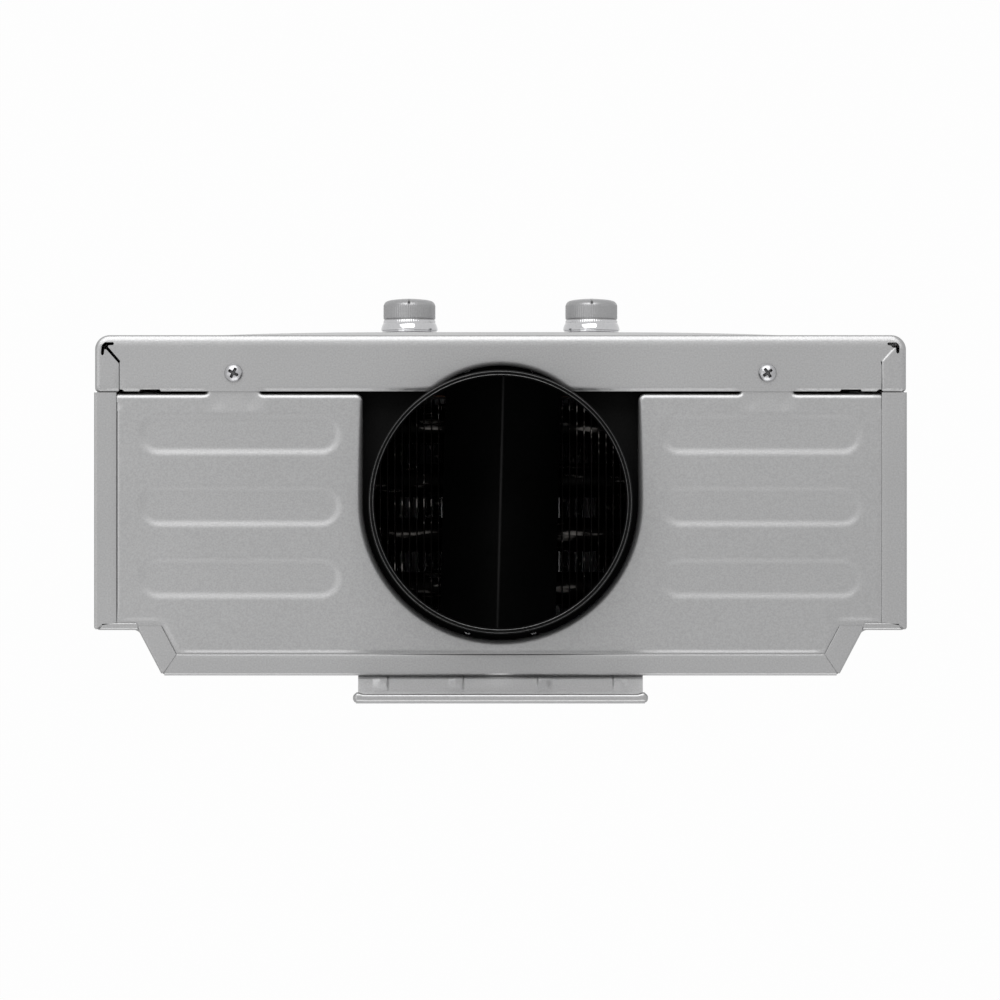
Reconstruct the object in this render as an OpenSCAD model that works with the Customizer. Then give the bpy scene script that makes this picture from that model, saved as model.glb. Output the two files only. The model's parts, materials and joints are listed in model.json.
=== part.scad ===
// Wall-hung tankless gas water heater: casing, flue, heat exchanger, burner and valve train.
// Modelled with x across the front, y from the front (negative) back to the rear panel at 0,
// and z up from the casing floor. placed() then moves the origin to the wall screws.

/* [Casing] */
// Width of the casing
casing_w = 340; // [336:1:400]
// Depth from the front edge of the cover to the rear panel
casing_d = 142; // [139:0.5:170]
// Height of the casing without collar and stubs
casing_h = 440; // [425:1:520]
// Thickness of the casing sheet
sheet = 1; // [0.8:0.1:1.2]
// Depth of the raised tray of the rear panel
rear_step = 19; // [12:0.5:24]
// Distance from the side wall to the foot of the slanted wall
step_inset = 18.5; // [12:0.5:24]
// Distance from the side wall to the head of the slanted wall
rear_inset = 28.5; // [25:0.5:40]
// Width of the flanges along the sides
side_flange = 10; // [7:0.5:14]
// Width of the flanges along the short rear walls
short_flange = 3; // [2:0.5:6]
// Width of the flanges along the slanted walls
slant_flange = 9.5; // [6:0.5:11]
// Width of the flanges along the rear panel
rear_flange = 8.5; // [6:0.5:11]
// Length of the lip that the cover slides over
lip_len = 12; // [8:0.5:18]
// Number of air louvres in each side wall
louvre_count = 6; // [3:1:8]
// Length of an air louvre
louvre_len = 44; // [30:1:60]
// Height of an air louvre
louvre_h = 4; // [3:0.5:6]
// Height of the lowest louvre over the casing floor
louvre_z = 186; // [180:1:260]

/* [Front cover] */
// Depth of the cover's flanges
cover_d = 22.6; // [18:0.2:26]
// Radius of the cover's upright front corners
cover_corner = 5; // [3:0.5:8]
// How far the middle of the cover crowns forward
cover_crown = 6; // [3:0.5:9]
// Seam between the cover and the casing
seam = 0.8; // [0.5:0.1:1.5]
// Radius of the arch that clears the flue
arch_r = 57; // [56:0.5:60]
// Half distance between the cover screws
screw_x = 111.6; // [106:0.2:122]
// Distance from the front edge to the cover screws
screw_in = 15.5; // [12:0.5:17]
// Diameter of the cover screw heads
screw_head_d = 7.6; // [6:0.2:9]
// Thread diameter of the cover screws
screw_d = 4; // [3:0.5:5]

/* [Top plate] */
// Width of the tabs under the cover
tab_w = 24; // [18:1:32]
// Radius of the cut-out round the flue
cutout_r = 59; // [57.5:0.5:62]
// Length of a pressed rib
rib_len = 84; // [60:0.5:92]
// Width of a pressed rib
rib_w = 17.4; // [12:0.2:22]
// Depth of a pressed rib
rib_depth = 1.6; // [0.8:0.1:2.5]
// Distance between ribs
rib_pitch = 30.1; // [26:0.1:32]
// Distance from the middle of the casing to the middle of a rib
rib_x = 108.8; // [104:0.2:112]
// Drop of the plate's bent front edge
edge_drop = 8; // [5:0.5:10]

/* [Flue] */
// Distance from the rear panel to the flue's axis
flue_set = 72.5; // [70:0.5:76]
// Outer diameter of the flue collar
collar_d = 108; // [100:0.5:110]
// Height of the collar above the casing
collar_rise = 28; // [20:0.5:40]
// Distance from the casing top down to the hood
hood_drop = 14; // [13:0.5:20]
// Width of the draught baffle
baffle_w = 50; // [40:1:60]
// Height of the draught baffle's ridge over its edges
baffle_rise = 20; // [12:1:26]

/* [Hanger] */
// Distance from the rear panel to the wall
stand_off = 10.6; // [8:0.2:16]
// Width of the hanger
hanger_w = 119.6; // [110:0.2:140]
// Height of the hanger's wall plate over its shelf
hanger_h = 30; // [26:0.5:34]
// Distance from the casing top down to the hanger's shelf
hanger_drop = 6; // [5:0.5:14]
// Thickness of the hanger's steel
hanger_t = 1.5; // [1.2:0.1:2]
// Diameter of the hanger's rolled edge
bead_d = 3.8; // [3:0.2:4.4]
// Distance between the two wall screws
wall_pitch = 80; // [60:1:92]
// Diameter of the wall screw holes
wall_hole_d = 6; // [5:0.5:7]
// Width of the lower stay
stay_w = 64; // [54:1:90]
// Distance between the screws of the lower stay
stay_pitch = 40; // [30:1:44]

/* [Heat exchanger] */
// Width of the combustion chamber
chamber_w = 192; // [184:1:196]
// Depth of the combustion chamber
chamber_d = 98; // [94:0.5:100]
// Distance from the rear panel to the chamber's middle
chamber_set = 70; // [68:0.5:72]
// Height of the chamber's lower edge over the casing floor
chamber_z = 216; // [208:1:218]
// Height of the chamber
chamber_h = 136; // [132:1:142]
// Thickness of the chamber's copper
chamber_t = 1; // [0.8:0.1:1.2]
// Outer diameter of the water pipes
pipe_d = 15; // [14:0.2:15.4]
// Wall of the water pipes
pipe_t = 1; // [0.8:0.1:1.5]
// Bend radius of the water pipes
pipe_bend = 14; // [12:0.5:14]
// Distance between neighbouring tubes in the fins
tube_pitch = 24; // [21:0.5:24.5]
// Distance between fins
fin_pitch = 3.2; // [3:0.1:6]
// Height of the fins
fin_h = 44; // [34:1:48]
// Thickness of a fin
fin_t = 0.4; // [0.3:0.05:0.6]

/* [Burner] */
// Height of the burner frame
frame_h = 88; // [80:1:92]
// Number of burner bars
bar_count = 8; // [6:1:8]
// Distance between burner bars
bar_pitch = 22; // [20:0.5:22.5]
// Width of a burner bar's head
bar_w = 10; // [6:0.5:14]
// Diameter of a bar's gas mouth
mouth_d = 15; // [12:0.5:17]
// Depth of the gas manifold
manifold_d = 10; // [8:0.5:11]
// Height of the gas manifold
manifold_h = 16; // [12:0.5:20]

/* [Valves] */
// Depth of both valve bodies
valve_d = 48; // [44:0.5:48]
// Height of the valve bodies
valve_h = 58; // [54:0.5:60]
// Height of the valve bodies over the casing floor
valve_z = 40; // [38:0.5:44]
// Width of the gas valve body
gas_valve_w = 58; // [54:0.5:60]
// Width of the water valve body
water_valve_w = 46; // [46:0.5:50]
// Diameter of the diaphragm housing
housing_d = 48; // [44:0.5:48]
// Diameter of the push rod
rod_d = 4.4; // [3.6:0.1:5]
// Travel of the push rod
rod_travel = 4; // [3:0.1:4]

/* [Controls] */
// Half distance between the knobs
knob_x = 46; // [44:0.5:50]
// Height of the knobs over the casing floor
knob_z = 62; // [58:0.5:64]
// Diameter of a knob's barrel
knob_d = 26.7; // [22:0.1:30]
// Diameter of a knob's skirt
skirt_d = 29; // [24:0.1:34]
// Length of a knob
knob_len = 28.3; // [22:0.1:34]
// Diameter of the ring behind a knob
bezel_d = 38; // [36:0.5:44]
// Thickness of the ring behind a knob
bezel_h = 4.5; // [3:0.1:6]
// Diameter of the valve spindles
spindle_d = 8; // [6:0.2:9]
// Width of the display window
window_w = 56; // [44:1:58]
// Height of the display window
window_h = 16; // [12:0.5:18]
// Height of the display's middle over the casing floor
window_z = 114; // [112:0.5:118]

/* [Stubs] */
// Outer diameter of the half inch pipe threads
thread_d = 20.96; // [18:0.02:21.4]
// Length of a stub below the casing floor
stub_len = 34; // [28:0.5:45]
// Bore of the stubs
stub_bore = 14; // [11:0.5:15]
// Size of the lock nuts across flats
nut_af = 27; // [26:0.5:29]
// Distance of the cold stub from the middle
cold_x = 60; // [58:0.5:64]
// Distance of the hot stub from the middle
hot_x = 135; // [134.5:0.5:140]
// Distance from the rear panel to the stubs
stub_set = 103; // [101:0.5:104]
// Diameter of the drain plug's head
drain_d = 16; // [12:0.5:17]

/* [Battery] */
// Diameter of a cell
cell_d = 34.2; // [32:0.1:34.4]
// Length of a cell
cell_len = 61.5; // [58:0.1:62]
// Wall of the battery box
box_t = 1.8; // [1.4:0.1:2.2]
// Room beyond the cells for a spring contact
spring_room = 3.6; // [3:0.1:4.5]
// Thickness of the battery lid
lid_t = 2.6; // [2:0.1:3.4]

/* [Fits] */
// Clearance of a turning or sliding fit, on the radius
run_fit = 0.05; // [0.02:0.01:0.1]
// Clearance between pieces that are slid together
slide_fit = 0.2; // [0.1:0.05:0.4]
// Clearance between pieces that pass each other
pass_gap = 0.6; // [0.4:0.1:1]

/* [Hidden] */

$fn = 64;
far = 400;
eps = 0.01;

// Casing levels and outline
half_w = casing_w / 2;
front_y = -casing_d;
cover_back = front_y + cover_d;
wall_front = cover_back + seam;
flue_y = -flue_set;
floor_z = 2 * sheet;
plate_z = casing_h - sheet;
outline = [
  [-half_w, wall_front], [-half_w, -rear_step], [-half_w + step_inset, -rear_step],
  [-half_w + rear_inset, 0], [half_w - rear_inset, 0],
  [half_w - step_inset, -rear_step], [half_w, -rear_step], [half_w, wall_front]
];
flange_widths = [
  side_flange, short_flange, slant_flange, rear_flange, slant_flange, short_flange, side_flange
];

// Hanger and origin
shelf_z = casing_h - hanger_drop;
wall_screw_z = shelf_z + 16;
hanger_tab_h = 22;
rivet_z = shelf_z - 12;
rivet_d = 4;
keyhole_half = 6;
keyhole_d = 11;
rivet_places = [-48, -16, 16, 48];
dart_places = [-50, -18.9, 18.9, 50];
dart_w = 7;
stay_z = 14;
stay_drop = 8;
stay_tab_h = 20;
stay_rivet_z = stay_z + 12;
stay_hole_z = 2;

// Flue
hood_top = casing_h - hood_drop;
collar_r = collar_d / 2;
collar_t = 1;
collar_lip_r = 1;
collar_foot = 10;
collar_rivet_d = 1.6;
collar_rivet_x = 14;
stop_rise = 4;
stop_bead_r = 1.2;
hood_half = 58;
skirt_lap = 8;

// Chamber and pipes
chamber_y = -chamber_set;
chamber_top = chamber_z + chamber_h;
chamber_front = chamber_y - chamber_d / 2;
chamber_rear = chamber_y + chamber_d / 2;
hood_shelf = chamber_top + 4;
// The baffle sits in the lower part of the hood, below the flue pipe's room
baffle_share = 0.4;
fin_top = chamber_top - 4;
tube_z = fin_top - fin_h / 2;
fin_span = chamber_w - 2 * chamber_t - 6;
fin_count = floor(fin_span / fin_pitch) + 1;
pipe_r = pipe_d / 2;
tube_y = [for (i = [0:3]) chamber_y + (i - 1.5) * tube_pitch];
tube_end = chamber_w / 2 + 4;
tube_turn = tube_end + tube_pitch / 2;
coil_x = tube_end + pipe_bend + 4;
coil_front = chamber_front - slide_fit - pipe_r;
coil_rear = chamber_rear + slide_fit + pipe_r;
coil_z = chamber_z + 26;
coil_step = 2 * pipe_bend + 2;
union_z = chamber_z - 11;
bracket_z = coil_z + coil_step + pipe_r + 4;
bracket_t = 1.5;
bracket_x = chamber_w / 2 - 36;
bracket_w = 20;
bracket_h = 18;

// Burner and gas train
frame_z = chamber_z - frame_h;
mouth_z = frame_z + 20;
mouth_y = chamber_front - 2;
bar_top = chamber_z - 10;
bar_head_h = 40;
thermostat_z = frame_z + 52;
bar_ports = 10;
port_pitch = 9;
nozzle_gap = 0.5;
nozzle_len = 3;
manifold_rear = mouth_y - nozzle_gap - nozzle_len;
manifold_front = manifold_rear - manifold_d;
manifold_w = (bar_count - 1) * bar_pitch + 22;
nozzle_d = 5;
valve_front = manifold_front - 1.5;
valve_rear = valve_front + valve_d;
valve_top = valve_z + valve_h;
valve_y = (valve_front + valve_rear) / 2;
gas_x = -knob_x - 1;
gas_right = gas_x + gas_valve_w / 2;
gas_left = gas_x - gas_valve_w / 2;
leg_x = gas_x - 13;
rod_y = valve_y;
rod_z = knob_z + 14;
housing_half = 12.5;
diaphragm_t = 1;
housing_left = 10;
diaphragm_x = housing_left + housing_half;
water_left = diaphragm_x + diaphragm_t + housing_half;
water_right = water_left + water_valve_w;
cavity_r = housing_d / 2 - 5;
housing_screw_r = housing_d / 2 - 2.6;
stub_y = -stub_set;
riser_y = valve_rear - 7 - eps;
drain_x = water_left + 4;
drain_y = stub_y + 9;
drain_stem = 8;
drain_low = -18;
drain_head_h = 11;
drain_stem_h = 38;
drain_boss_z = 10;
nut_h = 7;
gasket_t = 2;
collar_nut_d = 28;
hot_stub_top = valve_z - 6;

// Rod, switch and lever
rod_bury = 12;
rod_left = gas_right - rod_bury;
plate_disc_r = cavity_r - 4;
plate_disc_t = 2;
rod_right = diaphragm_x - 0.3;
stop_left = 0;
stop_t = 2;
stop_r = 9;
lever_gap = 0.3;
lever_t = 1;
lever_pivot_z = rod_z + stop_r + 7.5;
lever_x = stop_left - lever_gap - lever_t / 2;
lever_tip_z = rod_z + stop_r - 4;
switch_z = lever_pivot_z + 2.5;
switch_w = 20;
switch_d = 6.6;
switch_h = 11;
switch_left = -14;
switch_ear_t = 1.2;
pivot_d = 1.6;

// Knobs: places along the spindle, counted from the front plane outward
knob_back = bezel_h + pass_gap;
spindle_nose = 6;
nose_len = 12;
spindle_bury = 23;
spindle_boss = 3;

// Crowned field of the cover
crown_half = half_w - 20;
crown_low = window_z + 24;
crown_high = casing_h - 22;

// Air slots in the floor: left and front corner of each group
air_slots = [[-118, -84], [-20, -74]];
air_slot_count = 6;
air_slot_w = 4;
air_slot_rear = -24;

// Battery bay
cell_gap = 0.6;
plate_t = 0.5;
cell_play = 0.2;
box_in_x = cell_len + spring_room + 2 * plate_t + 2 * cell_play;
box_in_y = 2 * cell_d + 3 * cell_gap;
box_out_x = box_in_x + 2 * box_t;
box_out_y = box_in_y + 2 * box_t;
box_right = half_w - side_flange + box_t - pass_gap;
box_left = box_right - box_out_x;
box_rear = -36;
box_front = box_rear - box_out_y;
box_flange = 4;
lid_top = 0.4;
lid_z = lid_top - lid_t;
cell_z = lid_top + 0.3 + cell_d / 2;
box_top = cell_z + cell_d / 2 + cell_gap + box_t;
hinge_y = box_rear + 3;
hinge_z = -1.6;
hinge_pin_d = 2;
hinge_barrel_d = 4.8;
lug_t = 4;
lug_in = 11;

// Electrics
igniter = [24, 60, 84];
igniter_y = -100;
igniter_z = 95;
electrode_z = chamber_z + 6;
electrode_places = [-24, 0, 24];
electrode_d = 7;
electrode_plate_t = 1.2;
pin_d = 2;
pin_front = chamber_front - 15;
pin_rear = chamber_front + 18;
board = [window_w + 16, 1.6, window_h + 8];
board_gap = 5;
post_d = 4;
lens_lip = 3;
lens_t = 1.2;
wire_d = 2;
wire_bend = 2.4;

// Geometry helpers

function unit(v) = v / norm(v);
function right_of(v) = [v[1], -v[0]];
function run(p, i) = unit(p[i + 1] - p[i]);
function cross2(a, b) = a[0] * b[1] - a[1] * b[0];
function meet(p, u, q, v) = p + u * cross2(q - p, v) / cross2(u, v);
function edge_point(p, i, w) = p[i] + right_of(run(p, i)) * w[i];
function tail_point(p, i, w) = p[i] + right_of(run(p, i - 1)) * w[i - 1];
function even(w) = [for (i = [0:6]) w];

// Moves each run of an open path to its right by that run's own width
function shifted(p, w) = [
  for (i = [0:len(p) - 1])
    i == 0 ? edge_point(p, 0, w)
    : i == len(p) - 1 ? tail_point(p, i, w)
    : meet(edge_point(p, i - 1, w), run(p, i - 1), edge_point(p, i, w), run(p, i))
];
function reversed(p) = [for (i = [len(p) - 1:-1:0]) p[i]];
function strip(p, w) = concat(p, reversed(shifted(p, w)));

module placed() {
  translate([0, -stand_off, -wall_screw_z]) children();
}

module axes(x, y, z, o) {
  multmatrix([
    [x[0], y[0], z[0], o[0]], [x[1], y[1], z[1], o[1]], [x[2], y[2], z[2], o[2]], [0, 0, 0, 1]
  ]) children();
}

// Turns the z axis to one of the frame's axes
module along(u, o) {
  side = [u[1], u[2], u[0]];
  axes(side, cross(u, side), u, o) children();
}

// Box given by its low and high corners
module block(low, high) {
  translate(low) cube(high - low);
}

module mirrored_x() {
  children();
  mirror([1, 0, 0]) children();
}

// Points a child from the front plane outward, at a place on the front
module on_front(x, z) {
  translate([x, front_y, z]) rotate([90, 0, 0]) children();
}

module ring_2d(outer, inner) {
  difference() {
    circle(d = outer);
    circle(d = inner);
  }
}

// Outline of a pipe, or of a solid wire where the wall takes up the whole radius
module pipe_2d(d, wall) {
  difference() {
    circle(d = d);
    if (2 * wall < d) circle(d = d - 2 * wall);
  }
}

// Pipe along a path whose runs follow the axes
module bent_pipe(points, bend, d = pipe_d, wall = pipe_t) {
  last = len(points) - 1;
  for (i = [0:last - 1]) {
    u = unit(points[i + 1] - points[i]);
    start = points[i] + u * (i == 0 ? 0 : bend);
    stop = points[i + 1] - u * (i == last - 1 ? 0 : bend);
    if (norm(stop - start) > 0.05)
      along(u, start) linear_extrude(norm(stop - start)) pipe_2d(d, wall);
  }
  if (last > 1) for (i = [1:last - 1]) {
    u = unit(points[i] - points[i - 1]);
    v = unit(points[i + 1] - points[i]);
    axes(-v, u, cross(-v, u), points[i] + (v - u) * bend)
      rotate_extrude(angle = 90)
        translate([bend, 0])
          pipe_2d(d, wall);
  }
}

// Pan head screw with a cross recess, head on z = 0 and up, shank down
module pan_screw(head_d, shank_d, len) {
  head_h = head_d * 0.34;
  dome = head_d * 0.75;
  slot = head_d * 0.13;
  difference() {
    intersection() {
      cylinder(d = head_d, h = head_h);
      translate([0, 0, head_h - dome]) sphere(dome);
    }
    for (turn = [20, 110]) rotate(turn)
      translate([-head_d * 0.27, -slot / 2, head_h * 0.45])
        cube([head_d * 0.54, slot, head_h]);
  }
  translate([0, 0, -len]) cylinder(d = shank_d, h = len + eps);
}

module rivet(head_d, shank_d, grip) {
  head_h = head_d * 0.32;
  dome = head_d * 0.7;
  intersection() {
    cylinder(d = head_d, h = head_h);
    translate([0, 0, head_h - dome]) sphere(dome);
  }
  translate([0, 0, -grip - 0.6]) cylinder(d = shank_d, h = grip + 0.6 + eps);
  translate([0, 0, -grip - 1.2]) cylinder(d = head_d, h = 1.2);
}

// Round wire wound as a helix along z, closed at both ends
module coil_spring(mean_r, wire_d, length, turns) {
  steps = 12;
  sides = 6;
  rings = steps * turns;
  pitch = (length - wire_d) / turns;
  points = [
    for (i = [0:rings], j = [0:sides - 1])
      let (a = 360 * i / steps, b = 360 * j / sides, r = mean_r + wire_d / 2 * cos(b))
        [r * cos(a), r * sin(a), wire_d / 2 + pitch * i / steps + wire_d / 2 * sin(b)]
  ];
  sides_tri = [
    for (i = [0:rings - 1], j = [0:sides - 1])
      let (a = i * sides + j, b = i * sides + (j + 1) % sides)
        each [[a, b, a + sides], [b, b + sides, a + sides]]
  ];
  head = [for (j = [1:sides - 2]) [0, j + 1, j]];
  tail = [for (j = [1:sides - 2]) [0, j, j + 1] + rings * sides * [1, 1, 1]];
  polyhedron(points, concat(sides_tri, head, tail));
}

// Casing

module rear_casing() {
  lip_x = half_w - sheet - slide_fit;
  color("silver") placed() difference() {
    union() {
      linear_extrude(casing_h) polygon(strip(outline, even(sheet)));
      linear_extrude(sheet) polygon(strip(outline, flange_widths));
      translate([0, 0, plate_z]) linear_extrude(sheet) polygon(strip(outline, flange_widths));
      mirrored_x() {
        block(
          [lip_x - sheet, wall_front - lip_len, 3 * sheet],
          [lip_x, wall_front + 6, casing_h - 3 * sheet]
        );
        block(
          [lip_x - eps, wall_front + 2, 3 * sheet],
          [half_w - sheet + eps, wall_front + 6, casing_h - 3 * sheet]
        );
      }
    }
    mirrored_x() for (i = [0:louvre_count - 1])
      block(
        [half_w - sheet - eps, chamber_y - louvre_len / 2, louvre_z + i * 2 * louvre_h],
        [half_w + eps, chamber_y + louvre_len / 2, louvre_z + (i * 2 + 1) * louvre_h]
      );
    for (x = rivet_places) wall_drill(x, rivet_z);
    for (x = [-1, 1] * stay_pitch / 2) wall_drill(x, stay_rivet_z);
    stub_places() translate([0, 0, -eps])
      cylinder(d = nut_af / cos(30) + 2 * pass_gap, h = sheet + 2 * eps);
  }
}

module wall_drill(x, z) {
  translate([x, 0, z]) rotate([90, 0, 0])
    cylinder(d = rivet_d + 2 * run_fit, h = far, center = true);
}

// Plate that lies inside the walls, against the flanges, up to the casing's front edge
module plate_2d() {
  polygon(shifted(outline, even(sheet + slide_fit)));
}

module rib_2d(len, w) {
  for (x = [-1, 1] * (len - w) / 2) translate([x, 0]) circle(d = w);
  square([len - w, w], center = true);
}

module rib_places() {
  for (x = [-1, 1] * rib_x, i = [-1:1])
    translate([x, chamber_y - 0.6 + i * rib_pitch, 0]) children();
}

module screw_places() {
  for (x = [-1, 1] * screw_x) translate([x, front_y + screw_in, 0]) children();
}

// Tabs of a plate that reach under the cover to its screws
module cover_tabs() {
  ahead = 7.5;
  lap = 0.5;
  screw_places() translate([-tab_w / 2, -ahead, 0])
    cube([tab_w, wall_front - front_y - screw_in + ahead + lap, sheet]);
}

module top_plate() {
  low = plate_z - sheet;
  color("silver") placed() difference() {
    union() {
      translate([0, 0, low]) linear_extrude(sheet) plate_2d();
      translate([0, 0, low]) cover_tabs();
      block(
        [-half_w + 3, wall_front, low - edge_drop],
        [half_w - 3, wall_front + sheet, low + eps]
      );
      rib_places() translate([0, 0, low - rib_depth])
        linear_extrude(rib_depth + eps) rib_2d(rib_len + 2 * sheet, rib_w + 2 * sheet);
    }
    rib_places() translate([0, 0, plate_z - rib_depth])
      linear_extrude(rib_depth + eps) rib_2d(rib_len, rib_w);
    translate([0, flue_y, low - far / 2]) cylinder(r = cutout_r, h = far, $fn = 128);
    block([-cutout_r, wall_front - eps, low - far / 2], [cutout_r, flue_y, casing_h]);
    screw_places() cylinder(d = screw_d + 2 * run_fit, h = far * 2);
    mirrored_x() block(
      [half_w - sheet - slide_fit - sheet - slide_fit, wall_front - eps, low - far / 2],
      [half_w, wall_front + 6 + slide_fit, low - eps]
    );
  }
}

module bottom_plate() {
  color("silver") placed() difference() {
    union() {
      translate([0, 0, sheet]) linear_extrude(sheet) plate_2d();
      translate([0, 0, sheet]) cover_tabs();
      block([-half_w + 3, wall_front, sheet], [half_w - 3, wall_front + sheet, sheet + edge_drop]);
      for (x = [box_left + lug_in, box_right - lug_in - lug_t]) translate([x, hinge_y, hinge_z]) {
        rotate([0, 90, 0]) cylinder(d = hinge_barrel_d, h = lug_t);
        translate([0, -hinge_barrel_d / 2, 0]) cube([lug_t, hinge_barrel_d, sheet - hinge_z + eps]);
      }
    }
    translate([0, hinge_y, hinge_z]) rotate([0, 90, 0])
      cylinder(d = hinge_pin_d + 2 * run_fit, h = far);
    screw_places() cylinder(d = screw_d + 2 * run_fit, h = far, center = true);
    stub_places() cylinder(d = thread_d + 2 * slide_fit, h = far, center = true);
    translate([drain_x, drain_y, 0]) cylinder(d = drain_stem + 2, h = far, center = true);
    block([box_left + box_t, box_front + box_t, -far], [box_right - box_t, box_rear - box_t, far]);
    for (group = air_slots, i = [0:air_slot_count - 1]) {
      x = group[0] + 2 * i * air_slot_w;
      block([x, group[1], 0], [x + air_slot_w, air_slot_rear, far]);
    }
    mirrored_x() block(
      [half_w - sheet - slide_fit - sheet - slide_fit, wall_front - eps, floor_z + eps],
      [half_w, wall_front + 6 + slide_fit, far]
    );
  }
}

// Front cover

module cover_2d(inset) {
  r = cover_corner;
  w = half_w - inset;
  y = front_y + inset;
  translate([-w, y + r]) square([2 * w, cover_back - y - r]);
  translate([-w + r, y]) square([2 * (w - r), r + eps]);
  for (x = [-1, 1] * (w - r)) translate([x, y + r]) circle(r);
}

// Crowned field of the front: a closed sheet whose bulge fades to nothing at its border
module crown_sheet() {
  cols = 14;
  rows = 14;
  mid_z = (crown_low + crown_high) / 2;
  half_z = (crown_high - crown_low) / 2;
  n = (cols + 1) * (rows + 1);
  function at(i, j, y) =
    let (u = 2 * i / cols - 1, v = 2 * j / rows - 1)
      [u * crown_half, y - cover_crown * (1 - u * u) * (1 - v * v), mid_z + v * half_z];
  function id(i, j) = j * (cols + 1) + i;
  outer = [for (j = [0:rows], i = [0:cols]) at(i, j, front_y)];
  inner = [for (j = [0:rows], i = [0:cols]) at(i, j, front_y + sheet)];
  skin = [
    for (j = [0:rows - 1], i = [0:cols - 1])
      each [
        [id(i, j), id(i, j + 1), id(i + 1, j)],
        [id(i + 1, j), id(i, j + 1), id(i + 1, j + 1)]
      ]
  ];
  lining = [for (f = skin) [f[0], f[2], f[1]] + n * [1, 1, 1]];
  rim = concat(
    [for (i = [0:cols - 1]) id(i, 0)], [for (j = [0:rows - 1]) id(cols, j)],
    [for (i = [cols:-1:1]) id(i, rows)], [for (j = [rows:-1:1]) id(0, j)]
  );
  band = [
    for (k = [0:len(rim) - 1])
      let (a = rim[k], b = rim[(k + 1) % len(rim)]) each [[a, b, a + n], [b, b + n, a + n]]
  ];
  polyhedron(concat(outer, inner), concat(skin, lining, band));
}

module front_cover() {
  color("silver") placed() {
    difference() {
      linear_extrude(casing_h) cover_2d(0);
      translate([0, 0, sheet]) linear_extrude(casing_h - 2 * sheet)
        translate([0, sheet]) cover_2d(sheet);
      translate([0, 0, sheet]) linear_extrude(casing_h - 2 * sheet) cover_2d(sheet);
      block([-crown_half, front_y - eps, crown_low], [crown_half, front_y + sheet + eps, crown_high]);
      translate([0, flue_y, casing_h - 2 * sheet]) cylinder(r = arch_r, h = far, $fn = 128);
      screw_places() cylinder(d = screw_d + 0.4, h = far * 2.5, center = true);
      for (x = [-1, 1] * knob_x) on_front(x, knob_z)
        cylinder(d = bezel_d - 10 + 2 * slide_fit, h = 10, center = true);
      block(
        [-window_w / 2, front_y - 1, window_z - window_h / 2],
        [window_w / 2, front_y + 2 * sheet, window_z + window_h / 2]
      );
    }
    crown_sheet();
  }
}

module cover_screws() {
  color("gainsboro") placed() {
    screw_places() translate([0, 0, casing_h]) pan_screw(screw_head_d, screw_d, 8);
    screw_places() mirror([0, 0, 1]) pan_screw(screw_head_d, screw_d, 8);
  }
}

// Wall fixings

module hanger_bracket() {
  half = hanger_w / 2;
  plate_y = stand_off - hanger_t;
  color("gray") placed() difference() {
    union() {
      block([-half, 0, shelf_z - hanger_tab_h], [half, hanger_t, shelf_z]);
      block([-half, 0, shelf_z - hanger_t], [half, stand_off, shelf_z]);
      block([-half, plate_y, shelf_z - hanger_t], [half, stand_off, shelf_z + hanger_h]);
      translate([-half - 1.8, stand_off - bead_d / 2, shelf_z + hanger_h])
        rotate([0, 90, 0]) cylinder(d = bead_d, h = hanger_w + 3.6);
      for (x = dart_places) intersection() {
        translate([x, 0.2, shelf_z - 2]) rotate([-90, 0, 0])
          cylinder(d = dart_w, h = plate_y);
        block([-half, 0, shelf_z - hanger_t / 2], [half, stand_off, shelf_z + 3]);
      }
    }
    for (x = rivet_places) wall_drill(x, rivet_z);
    for (x = [-1, 1] * wall_pitch / 2) translate([x, stand_off, wall_screw_z])
      rotate([90, 0, 0]) cylinder(d = wall_hole_d, h = 6, center = true);
    translate([0, stand_off, wall_screw_z - keyhole_half]) rotate([90, 0, 0])
      cylinder(d = keyhole_d, h = 6, center = true);
    block(
      [-wall_hole_d / 2, plate_y - 1, wall_screw_z - keyhole_half],
      [wall_hole_d / 2, stand_off + 1, wall_screw_z + keyhole_half]
    );
    translate([0, stand_off, wall_screw_z + keyhole_half]) rotate([90, 0, 0])
      cylinder(d = wall_hole_d, h = 6, center = true);
  }
}

module wall_rivet(x, z) {
  translate([x, hanger_t, z]) rotate([-90, 0, 0]) rivet(7, rivet_d, hanger_t + sheet);
}

module hanger_rivets() {
  color("darkgray") placed() for (x = rivet_places) wall_rivet(x, rivet_z);
}

module lower_stay() {
  half = stay_w / 2;
  color("gray") placed() difference() {
    union() {
      block([-half, 0, stay_z], [half, hanger_t, stay_z + stay_tab_h]);
      block([-half, 0, stay_z], [half, stand_off, stay_z + hanger_t]);
      block([-half, stand_off - hanger_t, -stay_drop], [half, stand_off, stay_z + hanger_t]);
    }
    for (x = [-1, 1] * stay_pitch / 2) {
      wall_drill(x, stay_rivet_z);
      translate([x, stand_off, stay_hole_z]) rotate([90, 0, 0])
        cylinder(d = wall_hole_d, h = 6, center = true);
    }
  }
}

module stay_rivets() {
  color("darkgray") placed() for (x = [-1, 1] * stay_pitch / 2) wall_rivet(x, stay_rivet_z);
}

// Flue

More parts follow.
